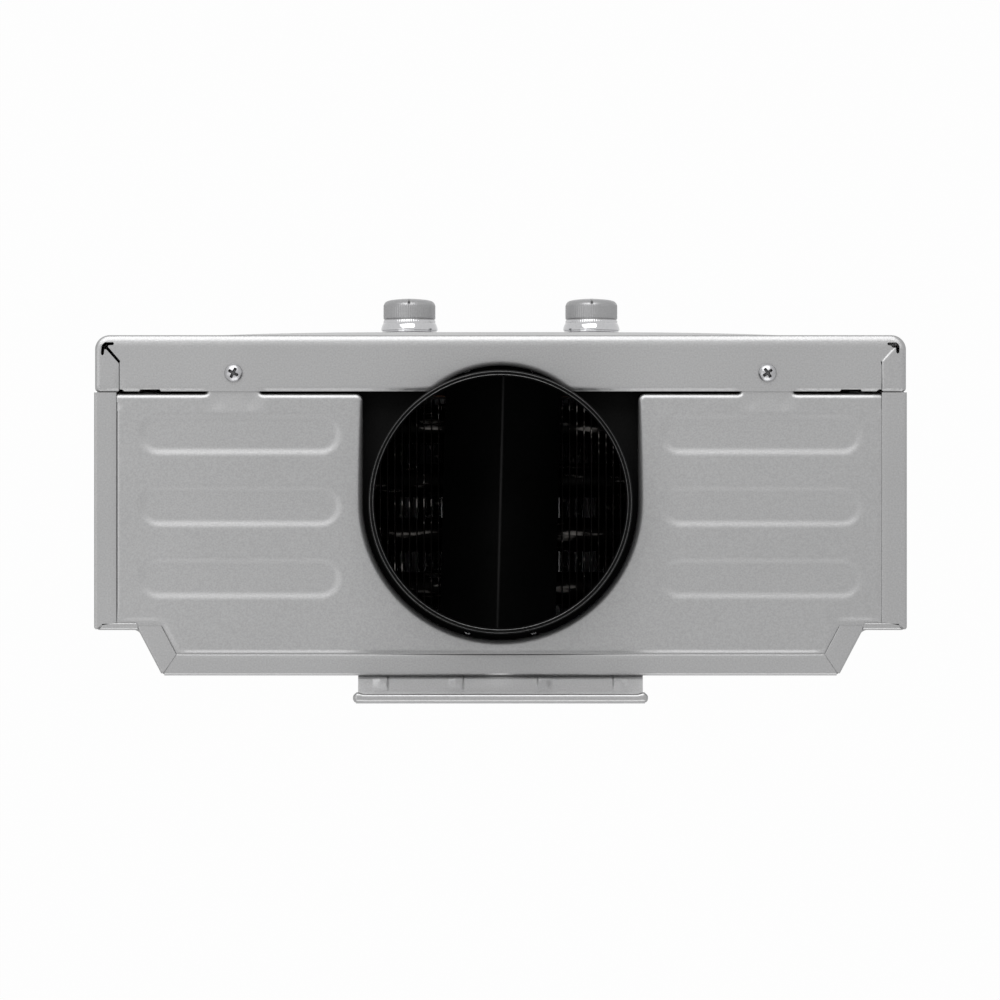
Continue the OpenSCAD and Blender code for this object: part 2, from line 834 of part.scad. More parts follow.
module flue_collar() {
  top = casing_h + collar_rise;
  lip_r = collar_lip_r;
  color("black") placed() translate([0, flue_y, 0]) difference() {
    union() {
      translate([0, 0, hood_top]) cylinder(r = collar_r, h = top - lip_r - hood_top, $fn = 128);
      intersection() {
        translate([0, 0, hood_top]) cylinder(r = collar_r + collar_foot, h = collar_t, $fn = 128);
        block([-far, -hood_half + 1, 0], [far, hood_half - 1, far * 2]);
      }
      translate([0, 0, top - lip_r]) rotate_extrude($fn = 128)
        translate([collar_r - lip_r, 0]) circle(lip_r, $fn = 32);
      translate([0, 0, casing_h + stop_rise]) rotate_extrude($fn = 128)
        translate([collar_r, 0]) circle(stop_bead_r, $fn = 32);
    }
    translate([0, 0, hood_top - 1])
      cylinder(r = collar_r - collar_t, h = top - lip_r - hood_top + 1, $fn = 128);
    translate([0, 0, hood_top]) cylinder(r = collar_r - 2 * lip_r, h = far, $fn = 128);
    collar_rivet_places() cylinder(d = collar_rivet_d + 2 * run_fit, h = far * 4, center = true);
  }
}

module collar_rivet_places() {
  for (x = [-1, 1] * collar_rivet_x, y = [-1, 1] * (collar_r + 1.4))
    translate([x, y, 0]) children();
}

module collar_rivets() {
  color("dimgray") placed() translate([0, flue_y, hood_top + collar_t])
    collar_rivet_places() rivet(2.6, collar_rivet_d, 2 * collar_t);
}

// Hood: a skirt that laps the chamber, a shelf and a box under the collar
module hood_box(inset, low, high, half_x, front, rear) {
  block([-half_x + inset, front + inset, low], [half_x - inset, rear - inset, high]);
}

module flue_hood() {
  t = collar_t;
  skirt_x = chamber_w / 2 + slide_fit + t;
  skirt_front = chamber_front - slide_fit - t;
  skirt_rear = chamber_rear + slide_fit + t;
  box_y0 = min(flue_y - hood_half, skirt_front);
  box_y1 = max(flue_y + hood_half, skirt_rear);
  color("black") placed() difference() {
    union() {
      hood_box(0, chamber_top - skirt_lap, hood_shelf + eps, skirt_x, skirt_front, skirt_rear);
      hood_box(0, hood_shelf - t, hood_top, skirt_x, box_y0, box_y1);
    }
    hood_box(t, chamber_top - skirt_lap - 1, hood_shelf + 1, skirt_x, skirt_front, skirt_rear);
    hood_box(t, hood_shelf, hood_top - t, skirt_x, box_y0, box_y1);
    translate([0, flue_y, hood_top - 2 * t]) cylinder(r = collar_r - collar_t, h = far, $fn = 128);
    translate([0, flue_y, 0]) collar_rivet_places()
      cylinder(d = collar_rivet_d + 2 * run_fit, h = far * 2);
  }
}

module draught_baffle() {
  t = collar_t;
  half = baffle_w / 2;
  lift = hood_shelf + baffle_share * (hood_top - hood_shelf - baffle_rise);
  len = 2 * hood_half - 2 * t;
  color("dimgray") placed() translate([0, flue_y + len / 2, lift]) rotate([90, 0, 0])
    linear_extrude(len) polygon([
      [-half, 0], [0, baffle_rise], [half, 0], [half, -t], [0, baffle_rise - t], [-half, -t]
    ]);
}

// Heat exchanger

module chamber_walls(low, high) {
  half = chamber_w / 2;
  difference() {
    block([-half, chamber_front, low], [half, chamber_rear, high]);
    block(
      [-half + chamber_t, chamber_front + chamber_t, low - 1],
      [half - chamber_t, chamber_rear - chamber_t, high + 1]
    );
  }
}

module tube_drill() {
  for (y = tube_y) translate([0, y, tube_z]) rotate([0, 90, 0])
    cylinder(d = pipe_d + 2 * run_fit, h = far, center = true);
}

module electrode_drill(d) {
  for (x = electrode_places) translate([x, chamber_front, electrode_z])
    rotate([90, 0, 0]) cylinder(d = d, h = 20, center = true);
}

module chamber_shell() {
  color("peru") placed() difference() {
    chamber_walls(chamber_z, chamber_top);
    tube_drill();
    electrode_drill(electrode_d + 2 * run_fit);
  }
}

module heat_fins() {
  depth = chamber_d - 2 * chamber_t - 2 * slide_fit;
  first = -(fin_count - 1) * fin_pitch / 2;
  color("sandybrown") placed() for (i = [0:fin_count - 1])
    translate([first + i * fin_pitch - fin_t / 2, chamber_y, tube_z]) rotate([90, 0, 90])
      linear_extrude(fin_t) difference() {
        square([depth, fin_h], center = true);
        for (y = tube_y) translate([y - chamber_y, 0]) circle(d = pipe_d + 2 * run_fit);
      }
}

// Four passes through the fins, joined by three return bends
module exchanger_tubes() {
  y = tube_y;
  z = tube_z;
  color("peru") placed() bent_pipe([
    [-tube_end, y[0], z], [tube_turn, y[0], z], [tube_turn, y[1], z], [-tube_turn, y[1], z],
    [-tube_turn, y[2], z], [tube_turn, y[2], z], [tube_turn, y[3], z], [-tube_end, y[3], z]
  ], tube_pitch / 2);
}

// One turn and a half round the chamber, then up to the first pass
module chamber_coil() {
  x = coil_x;
  high = coil_z + coil_step;
  color("peru") placed() bent_pipe([
    [x, riser_y, union_z], [x, riser_y, coil_z], [x, coil_front, coil_z], [-x, coil_front, coil_z],
    [-x, coil_rear, coil_z], [x, coil_rear, coil_z], [x, coil_rear, high], [-x, coil_rear, high],
    [-x, tube_y[0], high], [-x, tube_y[0], tube_z], [-tube_end, tube_y[0], tube_z]
  ], pipe_bend);
}

module cold_riser() {
  color("peru") placed() bent_pipe([
    [water_right, riser_y, rod_z], [coil_x, riser_y, rod_z], [coil_x, riser_y, union_z]
  ], pipe_bend);
}

module hot_pipe() {
  low = valve_top + 12;
  color("peru") placed() bent_pipe([
    [-tube_end, tube_y[3], tube_z], [-hot_x, tube_y[3], tube_z], [-hot_x, tube_y[3], low],
    [-hot_x, stub_y, low], [-hot_x, stub_y, hot_stub_top]
  ], pipe_bend);
}

// Brazed sleeves on the two tube ends and a union nut on the riser
module pipe_unions() {
  bore = pipe_d + 2 * run_fit;
  color("goldenrod") placed() {
    for (y = [tube_y[0], tube_y[3]]) translate([-tube_end - 3.5, y, tube_z]) rotate([0, 90, 0])
      linear_extrude(7) ring_2d(bore + 3, bore);
    translate([coil_x, riser_y, union_z - 8]) linear_extrude(16) difference() {
      circle(d = 24 / cos(30), $fn = 6);
      circle(d = bore);
    }
  }
}

// Straps from the rear panel to the chamber above and to the burner frame below
module strap(x, z) {
  w = bracket_w;
  h = bracket_h;
  translate([x - w / 2, 0, z]) {
    block([0, -sheet - bracket_t, 0], [w, -sheet, h]);
    block([0, chamber_rear, 0], [w, -sheet, bracket_t]);
    block([0, chamber_rear, 0], [w, chamber_rear + bracket_t, h]);
  }
}

module chamber_brackets() {
  color("gray") placed()
    for (x = [-1, 1] * bracket_x, z = [bracket_z, frame_z + frame_h / 2 - 14]) strap(x, z);
}

// Burner

module bar_places() {
  for (i = [0:bar_count - 1]) translate([(i - (bar_count - 1) / 2) * bar_pitch, 0, 0]) children();
}

module burner_frame() {
  color("lightgray") placed() difference() {
    chamber_walls(frame_z, chamber_z);
    bar_places() translate([0, chamber_front, mouth_z]) rotate([90, 0, 0])
      cylinder(d = mouth_d + 2 * slide_fit, h = 10, center = true);
  }
}

module burner_bars() {
  bar_half = bar_w / 2;
  depth_half = chamber_d / 2 - chamber_t - slide_fit;
  head_low = bar_top - bar_head_h;
  color("lightgray") placed() bar_places() difference() {
    union() {
      block([-bar_half, chamber_y - depth_half, head_low], [bar_half, chamber_y + depth_half, bar_top]);
      block([-bar_half + 1, chamber_y - 10, mouth_z], [bar_half - 1, chamber_y + 24, head_low + 1]);
      translate([0, mouth_y, mouth_z]) rotate([-90, 0, 0])
        cylinder(d = mouth_d, h = chamber_y + 30 - mouth_y);
    }
    translate([0, mouth_y - 1, mouth_z]) rotate([-90, 0, 0]) cylinder(d = mouth_d - 3, h = 40);
    for (i = [0:bar_ports - 1])
      translate([0, chamber_y + (i - (bar_ports - 1) / 2) * port_pitch, bar_top])
        cube([bar_w - 3, 4, 8], center = true);
  }
}

module gas_manifold() {
  half = manifold_w / 2;
  wall = 1.5;
  low = mouth_z - manifold_h / 2;
  mid = (manifold_front + manifold_rear) / 2;
  color("silver") placed() difference() {
    union() {
      block([-half, manifold_front, low], [half, manifold_rear, low + manifold_h]);
      block([leg_x - 9, manifold_front, valve_top], [leg_x + 9, manifold_rear, low + eps]);
    }
    block(
      [-half + wall, manifold_front + wall, low + wall],
      [half - wall, manifold_rear - wall, low + manifold_h - wall]
    );
    translate([leg_x, mid, valve_top - 1]) cylinder(d = 6, h = low + wall - valve_top + 2);
    bar_places() translate([0, manifold_rear, mouth_z]) rotate([90, 0, 0])
      cylinder(d = nozzle_d + 2 * run_fit, h = 2 * wall + 1, center = true);
  }
}

module gas_nozzles() {
  color("goldenrod") placed() bar_places()
    translate([0, manifold_rear, mouth_z]) rotate([-90, 0, 0]) difference() {
      union() {
        translate([0, 0, -1.4]) cylinder(d = nozzle_d, h = 1.5);
        cylinder(d = 8, h = nozzle_len - 1, $fn = 6);
        cylinder(d = nozzle_d - 1, h = nozzle_len);
      }
      cylinder(d = 1.2, h = 20, center = true);
    }
}

// Gas valve

module spindle_drill(x) {
  translate([x, valve_front - spindle_boss, knob_z]) rotate([-90, 0, 0])
    cylinder(d = spindle_d + 2 * run_fit, h = spindle_bury + spindle_boss + 1);
}

module gas_valve_body() {
  color("lightgray") placed() difference() {
    union() {
      block([gas_left, valve_front, valve_z], [gas_right, valve_rear, valve_top - 8]);
      block([gas_left + 4, valve_front, valve_z], [gas_right - 4, valve_rear - 6, valve_top]);
      translate([-knob_x, valve_front + 1, knob_z]) rotate([90, 0, 0])
        cylinder(d = 20, h = spindle_boss);
    }
    spindle_drill(-knob_x);
    translate([gas_x, stub_y, valve_z - 1]) cylinder(d = stub_bore, h = 14);
    translate([leg_x, (manifold_front + manifold_rear) / 2, valve_top - 16]) cylinder(d = 6, h = 20);
    translate([gas_right + 1, rod_y, rod_z]) rotate([0, -90, 0])
      cylinder(d = rod_d + 2 * run_fit, h = rod_bury + rod_travel + 4);
  }
}

module gas_solenoid() {
  color("dimgray") placed() translate([gas_left, rod_y, rod_z - 4]) rotate([0, -90, 0]) {
    cylinder(d = 26, h = 3);
    cylinder(d = 21, h = 22);
    translate([0, 0, 21]) cylinder(d = 9, h = 4);
  }
}

module spindle(x) {
  knob_seat = front_y - knob_back - 3;
  color("goldenrod") placed() {
    translate([x, knob_seat, knob_z]) rotate([-90, 0, 0])
      cylinder(d = spindle_d, h = valve_front + spindle_bury - knob_seat);
    translate([x, knob_seat - nose_len, knob_z]) rotate([-90, 0, 0])
      cylinder(d = spindle_nose, h = nose_len + eps);
  }
}

module gas_spindle() {
  spindle(-knob_x);
}

module water_spindle() {
  spindle(knob_x);
}

// Water valve with its pressure diaphragm

module housing_disc(x, len) {
  translate([x, rod_y, rod_z]) rotate([0, 90, 0]) cylinder(d = housing_d, h = len);
}

module cavity(x, len) {
  translate([x, rod_y, rod_z]) rotate([0, 90, 0]) cylinder(r = cavity_r, h = len);
}

module housing_screw_places() {
  for (turn = [45:90:315])
    translate([0, rod_y + housing_screw_r * cos(turn), rod_z + housing_screw_r * sin(turn)])
      rotate([0, -90, 0]) children();
}

module housing_drill() {
  housing_screw_places() cylinder(d = 3 + 2 * run_fit, h = 2 * (diaphragm_x + 10), center = true);
}

module water_valve_body() {
  body_x = diaphragm_x + diaphragm_t;
  color("lightgray") placed() difference() {
    union() {
      block([water_left - eps, valve_front, valve_z], [water_right, valve_rear, valve_top]);
      housing_disc(body_x, housing_half);
      translate([drain_x, drain_y, drain_boss_z])
        cylinder(d = drain_stem + 6, h = valve_z - drain_boss_z + eps);
    }
    cavity(body_x - 1, 8);
    housing_drill();
    spindle_drill(knob_x);
    translate([cold_x, stub_y, valve_z - 1]) cylinder(d = stub_bore, h = rod_z - valve_z + 1);
    translate([cold_x, riser_y, rod_z]) rotate([0, 90, 0])
      cylinder(d = pipe_d - 2 * pipe_t, h = far);
    translate([drain_x, drain_y, drain_boss_z - 1])
      cylinder(d = drain_stem + 2 * run_fit, h = valve_z - drain_boss_z - 4);
  }
}

module diaphragm() {
  color("black") placed() difference() {
    housing_disc(diaphragm_x, diaphragm_t);
    housing_drill();
  }
}

module diaphragm_cover() {
  color("lightgray") placed() difference() {
    housing_disc(housing_left, housing_half);
    cavity(housing_left + 3, housing_half);
    housing_drill();
    translate([0, rod_y, rod_z]) rotate([0, 90, 0]) cylinder(d = rod_d + 2 * run_fit, h = 20);
  }
}

module housing_screws() {
  color("gainsboro") placed() housing_screw_places() translate([0, 0, -housing_left])
    pan_screw(5, 3, 2 * housing_half - 4);
}

module rod_cylinder(x, d, len) {
  translate([x, rod_y, rod_z]) rotate([0, 90, 0]) cylinder(d = d, h = len);
}

module push_rod() {
  color("goldenrod") placed() {
    rod_cylinder(rod_left, rod_d, rod_right - rod_left);
    rod_cylinder(stop_left, 2 * stop_r, stop_t);
    rod_cylinder(rod_right - plate_disc_t, 2 * plate_disc_r, plate_disc_t);
  }
}

module rod_spring() {
  length = stop_left - gas_right - 0.2;
  color("silver") placed() translate([gas_right + 0.1, rod_y, rod_z]) rotate([0, 90, 0])
    coil_spring(rod_d / 2 + 1.8, 0.8, length, 7);
}

// Switch worked by the push rod

module pivot_bore(d, len) {
  translate([lever_x, rod_y, lever_pivot_z]) rotate([90, 0, 0])
    cylinder(d = d, h = len, center = true, $fn = 32);
}

module micro_switch() {
  color("black") placed() difference() {
    union() {
      block(
        [switch_left, rod_y - switch_d / 2, switch_z],
        [switch_left + switch_w, rod_y + switch_d / 2, switch_z + switch_h]
      );
      for (y = [-switch_d / 2, switch_d / 2 - switch_ear_t]) block(
        [lever_x - 2, rod_y + y, lever_pivot_z - 2],
        [lever_x + 2, rod_y + y + switch_ear_t, switch_z + eps]
      );
    }
    pivot_bore(pivot_d + 2 * run_fit, 20);
  }
}

module switch_lever() {
  half = switch_d / 2 - switch_ear_t - 0.4;
  color("silver") placed() {
    block(
      [lever_x - lever_t / 2, rod_y - half, lever_tip_z],
      [lever_x + lever_t / 2, rod_y + half, lever_pivot_z + 0.6]
    );
    pivot_bore(pivot_d, switch_d);
  }
}

module switch_bracket() {
  t = 1.2;
  back = rod_y + switch_d / 2;
  color("silver") placed() {
    block([gas_right, rod_y - 8, rod_z + 6], [gas_right + t, back + t, valve_top - 8.4]);
    block([gas_right, back, rod_z + stop_r + 1], [switch_left + switch_w, back + t, switch_z + switch_h]);
  }
}

// Knobs and bezels

module knob(x) {
  back = knob_back;
  front = knob_back + knob_len;
  r = knob_d / 2;
  color("silver") placed() on_front(x, knob_z) difference() {
    rotate_extrude($fn = 96) polygon([
      [0, back], [skirt_d / 2 - 0.5, back], [skirt_d / 2, back + 0.5], [skirt_d / 2, back + 11.5],
      [r + 0.25, back + 13.5], [r, back + 15.5], [r, front - 3.6], [r - 1.1, front - 1.9],
      [r * 0.6, front - 0.5], [0, front]
    ]);
    translate([0, 0, back - 1]) cylinder(d = spindle_d + 2 * run_fit, h = 4);
    translate([0, 0, back - 1]) cylinder(d = spindle_nose + 2 * run_fit, h = nose_len + 5);
    translate([-0.6, r * 0.45, front - 1.6]) cube([1.2, r, 4]);
  }
}

module gas_knob() {
  knob(-knob_x);
}

module water_knob() {
  knob(knob_x);
}

module knob_bezels() {
  color("gainsboro") placed() for (x = [-1, 1] * knob_x) on_front(x, knob_z) difference() {
    union() {
      rotate_extrude($fn = 96) polygon([
        [0, 0], [bezel_d / 2, 0], [bezel_d / 2, bezel_h - 1.5], [bezel_d / 2 - 1.5, bezel_h],
        [0, bezel_h]
      ]);
      translate([0, 0, -sheet - 1.5]) cylinder(d = bezel_d - 10, h = sheet + 2);
    }
    cylinder(d = spindle_d + 2 * pass_gap, h = 40, center = true);
  }
}

// Ignition

module ignition_box() {
  x = half_w - sheet;
  color("dimgray") placed() {
    block(
      [x - igniter[0], igniter_y, igniter_z],
      [x, igniter_y + igniter[1], igniter_z + igniter[2]]
    );
    for (i = [0:3]) block(
      [x - igniter[0] + 2 + i * 5.5, igniter_y + 10, igniter_z - 6],
      [x - igniter[0] + 5 + i * 5.5, igniter_y + 26, igniter_z + eps]
    );
  }
}

module electrode(d, from, to) {
  for (x = electrode_places) translate([x, from, electrode_z]) rotate([-90, 0, 0])
    cylinder(d = d, h = to - from);
}

module electrode_insulators() {
  plate_front = chamber_front - electrode_plate_t;
  color("white") placed() difference() {
    union() {
      electrode(electrode_d, chamber_front - 12, chamber_front + 8);
      electrode(electrode_d + 3, plate_front - 3, plate_front);
    }
    electrode(pin_d + 2 * run_fit, chamber_front - 20, chamber_front + 20);
  }
}

module electrode_pins() {
  color("gray") placed() electrode(pin_d, pin_front, pin_rear);
}

module electrode_plate() {
  color("silver") placed() difference() {
    block(
      [electrode_places[0] - 12, chamber_front - electrode_plate_t, electrode_z - 5],
      [electrode_places[2] + 12, chamber_front, electrode_z + 6]
    );
    electrode_drill(electrode_d + 2 * run_fit);
  }
}

// Leads from the ignition box to the electrodes, cells, switch and solenoid
module wire_loom() {
  x = half_w - sheet - igniter[0];
  top = igniter_z + igniter[2];
  lane = pin_front - 3.5;
  lead_y = igniter_y + 8;
  low = electrode_z - 5;
  switch_top = switch_z + switch_h;
  coil_end = gas_left - 25;
  routes = [
    [
      [x + 15, lead_y, top], [x + 15, lead_y, electrode_z], [x + 15, lane, electrode_z],
      [electrode_places[2], lane, electrode_z], [electrode_places[2], pin_front, electrode_z]
    ],
    [
      [x + 9, lead_y, top], [x + 9, lead_y, low], [x + 9, lane, low],
      [electrode_places[0], lane, low], [electrode_places[0], lane, electrode_z],
      [electrode_places[0], pin_front, electrode_z]
    ],
    [[x + 6, igniter_y + 40, box_top], [x + 6, igniter_y + 40, igniter_z]],
    [
      [switch_left + 6, rod_y, switch_top], [switch_left + 6, rod_y, switch_top + 12],
      [x + 12, rod_y, switch_top + 12], [x + 12, igniter_y, switch_top + 12]
    ],
    [
      [coil_end, rod_y, rod_z - 4], [coil_end - 7, rod_y, rod_z - 4],
      [coil_end - 7, rod_y, switch_top + 17], [x + 20, rod_y, switch_top + 17],
      [x + 20, igniter_y, switch_top + 17]
    ]
  ];
  color("black") placed() for (route = routes) bent_pipe(route, wire_bend, wire_d, wire_d);
}

// Battery bay

module battery_box() {
  color("black") placed() difference() {
    union() {
      block([box_left, box_front, floor_z], [box_right, box_rear, box_top]);
      block(
        [box_left, box_front - box_flange, floor_z],
        [box_right, box_rear + box_flange, floor_z + box_t]
      );
    }
    block(
      [box_left + box_t, box_front + box_t, floor_z - 1],
      [box_right - box_t, box_rear - box_t, box_top - box_t]
    );
  }
}

// Two cells lying head to tail, each place counted from the spring end of its bay
module cell_places() {
  for (i = [0, 1]) translate([
    (box_left + box_right) / 2,
    box_rear - box_t - cell_gap - cell_d / 2 - i * (cell_d + cell_gap),
    cell_z
  ]) rotate(i * 180) translate([-box_in_x / 2, 0, 0]) children();
}

module battery_cells() {
  nub = 1.5;
  color("darkslategray") placed() cell_places()
    translate([plate_t + spring_room + cell_play, 0, 0]) rotate([0, 90, 0]) {
      difference() {
        cylinder(d = cell_d, h = cell_len - nub);
        translate([0, 0, cell_len - nub - 0.8]) linear_extrude(2) ring_2d(cell_d - 2, cell_d - 6);
      }
      translate([0, 0, cell_len - nub - eps]) cylinder(d = 9.5, h = nub);
    }
}

module battery_contacts() {
  color("gainsboro") placed() cell_places() {
    for (x = [0, box_in_x - plate_t]) translate([x, -7, -7]) cube([plate_t, 14, 14]);
    translate([plate_t - 0.1, 0, 0]) rotate([0, 90, 0]) coil_spring(5, 0.8, spring_room, 2);
  }
}

module battery_lid() {
  x0 = box_left + 2;
  x1 = box_right - 2;
  barrel_in = lug_in + lug_t + 1;
  color("black") placed() difference() {
    union() {
      block([x0, box_front + 2, lid_z], [x1, hinge_y - hinge_barrel_d / 2 - 0.4, -0.1]);
      block([x0 + 4, box_front + box_t + 1, -0.2], [x1 - 4, box_rear - box_t - 6, lid_top]);
      translate([x0 + barrel_in, hinge_y, hinge_z]) rotate([0, 90, 0])
        cylinder(d = hinge_barrel_d, h = x1 - x0 - 2 * barrel_in);
      block([x0 + barrel_in, hinge_y - 4, lid_z], [x1 - barrel_in, hinge_y, lid_z + 1.6]);
    }
    translate([0, hinge_y, hinge_z]) rotate([0, 90, 0])
      cylinder(d = hinge_pin_d + 2 * run_fit, h = far);
  }
}

module lid_hinge_pin() {
  over = 1;
  color("gray") placed() translate([box_left + lug_in - over, hinge_y, hinge_z]) rotate([0, 90, 0])
    cylinder(d = hinge_pin_d, h = box_out_x - 2 * (lug_in - over));
}

// Pipe stubs

module stub_places() {
  for (x = [cold_x, gas_x, -hot_x]) translate([x, stub_y, 0]) children();
}

module stub(x, top) {
  gasket_top = floor_z + gasket_t;
  color("goldenrod") placed() translate([x, stub_y, 0]) difference() {
    union() {
      translate([0, 0, -stub_len]) cylinder(d = thread_d, h = stub_len + gasket_top + eps);
      translate([0, 0, gasket_top]) cylinder(d = collar_nut_d, h = 5);
      translate([0, 0, gasket_top]) cylinder(d = thread_d, h = top - gasket_top);
    }
    translate([0, 0, -far]) cylinder(d = stub_bore, h = far * 2);
    translate([0, 0, sheet - nut_h - 4]) linear_extrude(2) ring_2d(thread_d + 4, thread_d - 2);
  }
}

module cold_stub() {
  stub(cold_x, valve_z);
}

module gas_stub() {
  stub(gas_x, valve_z);
}

module hot_stub() {
  stub(-hot_x, hot_stub_top);
}

module lock_nuts() {
  color("gainsboro") placed() stub_places()
    translate([0, 0, sheet - nut_h]) linear_extrude(nut_h) difference() {
      circle(d = nut_af / cos(30), $fn = 6);
      circle(d = thread_d + 2 * run_fit);
    }
}

module stub_gaskets() {
  color("black") placed() stub_places() translate([0, 0, floor_z]) linear_extrude(gasket_t)
    ring_2d(collar_nut_d - 1, thread_d + 2 * run_fit);
}

module drain_plug() {
  color("goldenrod") placed() translate([drain_x, drain_y, 0]) {
    translate([0, 0, drain_low]) {
      difference() {
        cylinder(d = drain_d, h = drain_head_h);
        block([-far, -0.8, -1], [far, 0.8, 1.6]);
      }
      translate([0, 0, drain_head_h - 1]) cylinder(d = drain_stem, h = drain_stem_h);
    }
  }
}

// Sensors and display

module thermostat() {
  bore = pipe_d + 2 * run_fit;
  color("silver") placed() translate([-hot_x, tube_y[3], thermostat_z]) difference() {
    union() {
      translate([0, 0, -6]) cylinder(d = bore + 2, h = 12);
      rotate([90, 0, 0]) cylinder(d = 16, h = pipe_r + 9);
    }
    cylinder(d = bore, h = 60, center = true);
  }
}

module display_lens() {
  w = window_w / 2;
  h = window_h / 2;
  g = slide_fit;
  back = front_y + sheet;
  color("black") placed() {
    block([-w + g, front_y - 0.4, window_z - h + g], [w - g, back + eps, window_z + h - g]);
    block(
      [-w - lens_lip, back, window_z - h - lens_lip],
      [w + lens_lip, back + lens_t, window_z + h + lens_lip]
    );
  }
}

module display_board() {
  back = front_y + sheet;
  y = back + board_gap;
  color("darkgreen") placed() {
    block(
      [-board[0] / 2, y, window_z - board[2] / 2],
      [board[0] / 2, y + board[1], window_z + board[2] / 2]
    );
    block(
      [-window_w / 2 + 4, back + lens_t + 0.3, window_z - window_h / 2 + 1],
      [window_w / 2 - 4, y + eps, window_z + window_h / 2 - 1]
    );
    for (x = [-1, 1] * (board[0] / 2 - post_d / 2 - 0.1), z = [-1, 1] * (board[2] / 2 - post_d / 2))
      translate([x, back, window_z + z]) rotate([-90, 0, 0])
        cylinder(d = post_d, h = board_gap + eps);
  }
}

rear_casing();
top_plate();
bottom_plate();
front_cover();
cover_screws();
hanger_bracket();
hanger_rivets();
lower_stay();
stay_rivets();
flue_collar();
collar_rivets();
flue_hood();
draught_baffle();
chamber_shell();
heat_fins();
exchanger_tubes();
chamber_coil();
cold_riser();
hot_pipe();
pipe_unions();
chamber_brackets();
burner_frame();
burner_bars();
gas_manifold();
gas_nozzles();
gas_valve_body();
gas_solenoid();
gas_spindle();
gas_knob();
water_valve_body();
diaphragm();
diaphragm_cover();
housing_screws();
push_rod();
rod_spring();
water_spindle();
water_knob();
knob_bezels();
micro_switch();
switch_lever();
switch_bracket();
ignition_box();
electrode_insulators();
electrode_pins();
electrode_plate();
battery_box();
battery_cells();
battery_contacts();
battery_lid();
lid_hinge_pin();
cold_stub();
hot_stub();
gas_stub();
lock_nuts();
stub_gaskets();
drain_plug();
thermostat();
display_lens();
display_board();
wire_loom();
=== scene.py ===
"""Tankless gas water heater, dressed for the photograph's camera, which looks straight down on it."""
import json
import math

import bmesh
import bpy
import numpy as np
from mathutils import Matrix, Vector
from mathutils.geometry import delaunay_2d_cdt


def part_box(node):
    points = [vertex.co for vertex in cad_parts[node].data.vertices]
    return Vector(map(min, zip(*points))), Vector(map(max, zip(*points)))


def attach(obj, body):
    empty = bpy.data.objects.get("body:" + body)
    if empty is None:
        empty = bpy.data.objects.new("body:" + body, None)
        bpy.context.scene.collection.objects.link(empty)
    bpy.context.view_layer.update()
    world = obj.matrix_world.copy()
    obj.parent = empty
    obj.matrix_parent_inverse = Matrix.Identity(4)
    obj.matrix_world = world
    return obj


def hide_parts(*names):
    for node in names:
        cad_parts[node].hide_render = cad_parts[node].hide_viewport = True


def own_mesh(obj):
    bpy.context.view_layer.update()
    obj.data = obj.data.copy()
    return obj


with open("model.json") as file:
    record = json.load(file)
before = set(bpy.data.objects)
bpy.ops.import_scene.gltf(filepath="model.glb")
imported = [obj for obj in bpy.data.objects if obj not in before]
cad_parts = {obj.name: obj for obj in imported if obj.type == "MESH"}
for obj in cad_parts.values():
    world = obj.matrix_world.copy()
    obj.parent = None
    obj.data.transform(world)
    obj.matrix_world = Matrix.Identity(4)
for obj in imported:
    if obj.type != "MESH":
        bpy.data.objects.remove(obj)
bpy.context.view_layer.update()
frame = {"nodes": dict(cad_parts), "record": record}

# Sizes of the part in millimetres, counted from the middle of the casing's back at its floor
MM = 0.001
STAND_OFF = 10.6
SCREW_Z = 450.0
HALF_W = 170.0
FRONT = -142.35
COVER_BACK = -118.85
WALL_FRONT = -118.4
FLUE_Y = -72.5
TOP = 440.0
SHEET = 1.0
OUTLINE = [
    (-170.0, WALL_FRONT), (-170.0, -19.0), (-151.5, -19.0), (-141.5, 0.0),
    (141.5, 0.0), (151.5, -19.0), (170.0, -19.0), (170.0, WALL_FRONT),
]
FLANGES = [10.6, 3.0, 9.5, 8.9, 9.5, 3.0, 9.5]
KNOB_X = 46.0
KNOB_Z = 62.0


# Numbers and paths

def in_frame(point):
    """A casing point in millimetres as a point of the shared frame in metres."""
    return (point[0] * MM, (point[1] - STAND_OFF) * MM, (point[2] - SCREW_Z) * MM)


def ease(value, low, high):
    """0 below low, 1 above high and a smooth rise between them."""
    t = np.clip((value - low) / (high - low), 0.0, 1.0)
    return t * t * (3.0 - 2.0 * t)


def softened(corners, steps=6):
    """An open path through corners given as x, y and how far from the corner its rounding starts."""
    path = []
    for i, (x, y, trim) in enumerate(corners):
        here = np.array((x, y))
        if trim <= 0 or i in (0, len(corners) - 1):
            path.append((x, y))
            continue
        back = np.array(corners[i - 1][:2]) - here
        ahead = np.array(corners[i + 1][:2]) - here
        start = here + back / np.linalg.norm(back) * trim
        end = here + ahead / np.linalg.norm(ahead) * trim
        for k in range(steps + 1):
            t = k / steps
            point = (1 - t) ** 2 * start + 2 * t * (1 - t) * here + t * t * end
            path.append(tuple(point))
    return path


def spaced(path, step):
    """The path with points added so that none are further apart than step."""
    out = [tuple(path[0])]
    for a, b in zip(path, path[1:]):
        a, b = np.array(a), np.array(b)
        count = max(1, int(math.ceil(np.linalg.norm(b - a) / step)))
        out.extend(tuple(a + (b - a) * k / count) for k in range(1, count + 1))
    return out


def arc(centre, radius, start, end, steps):
    """Points on an arc between two angles in degrees."""
    angles = np.radians(np.linspace(start, end, steps + 1))
    return [(centre[0] + radius * math.cos(a), centre[1] + radius * math.sin(a)) for a in angles]


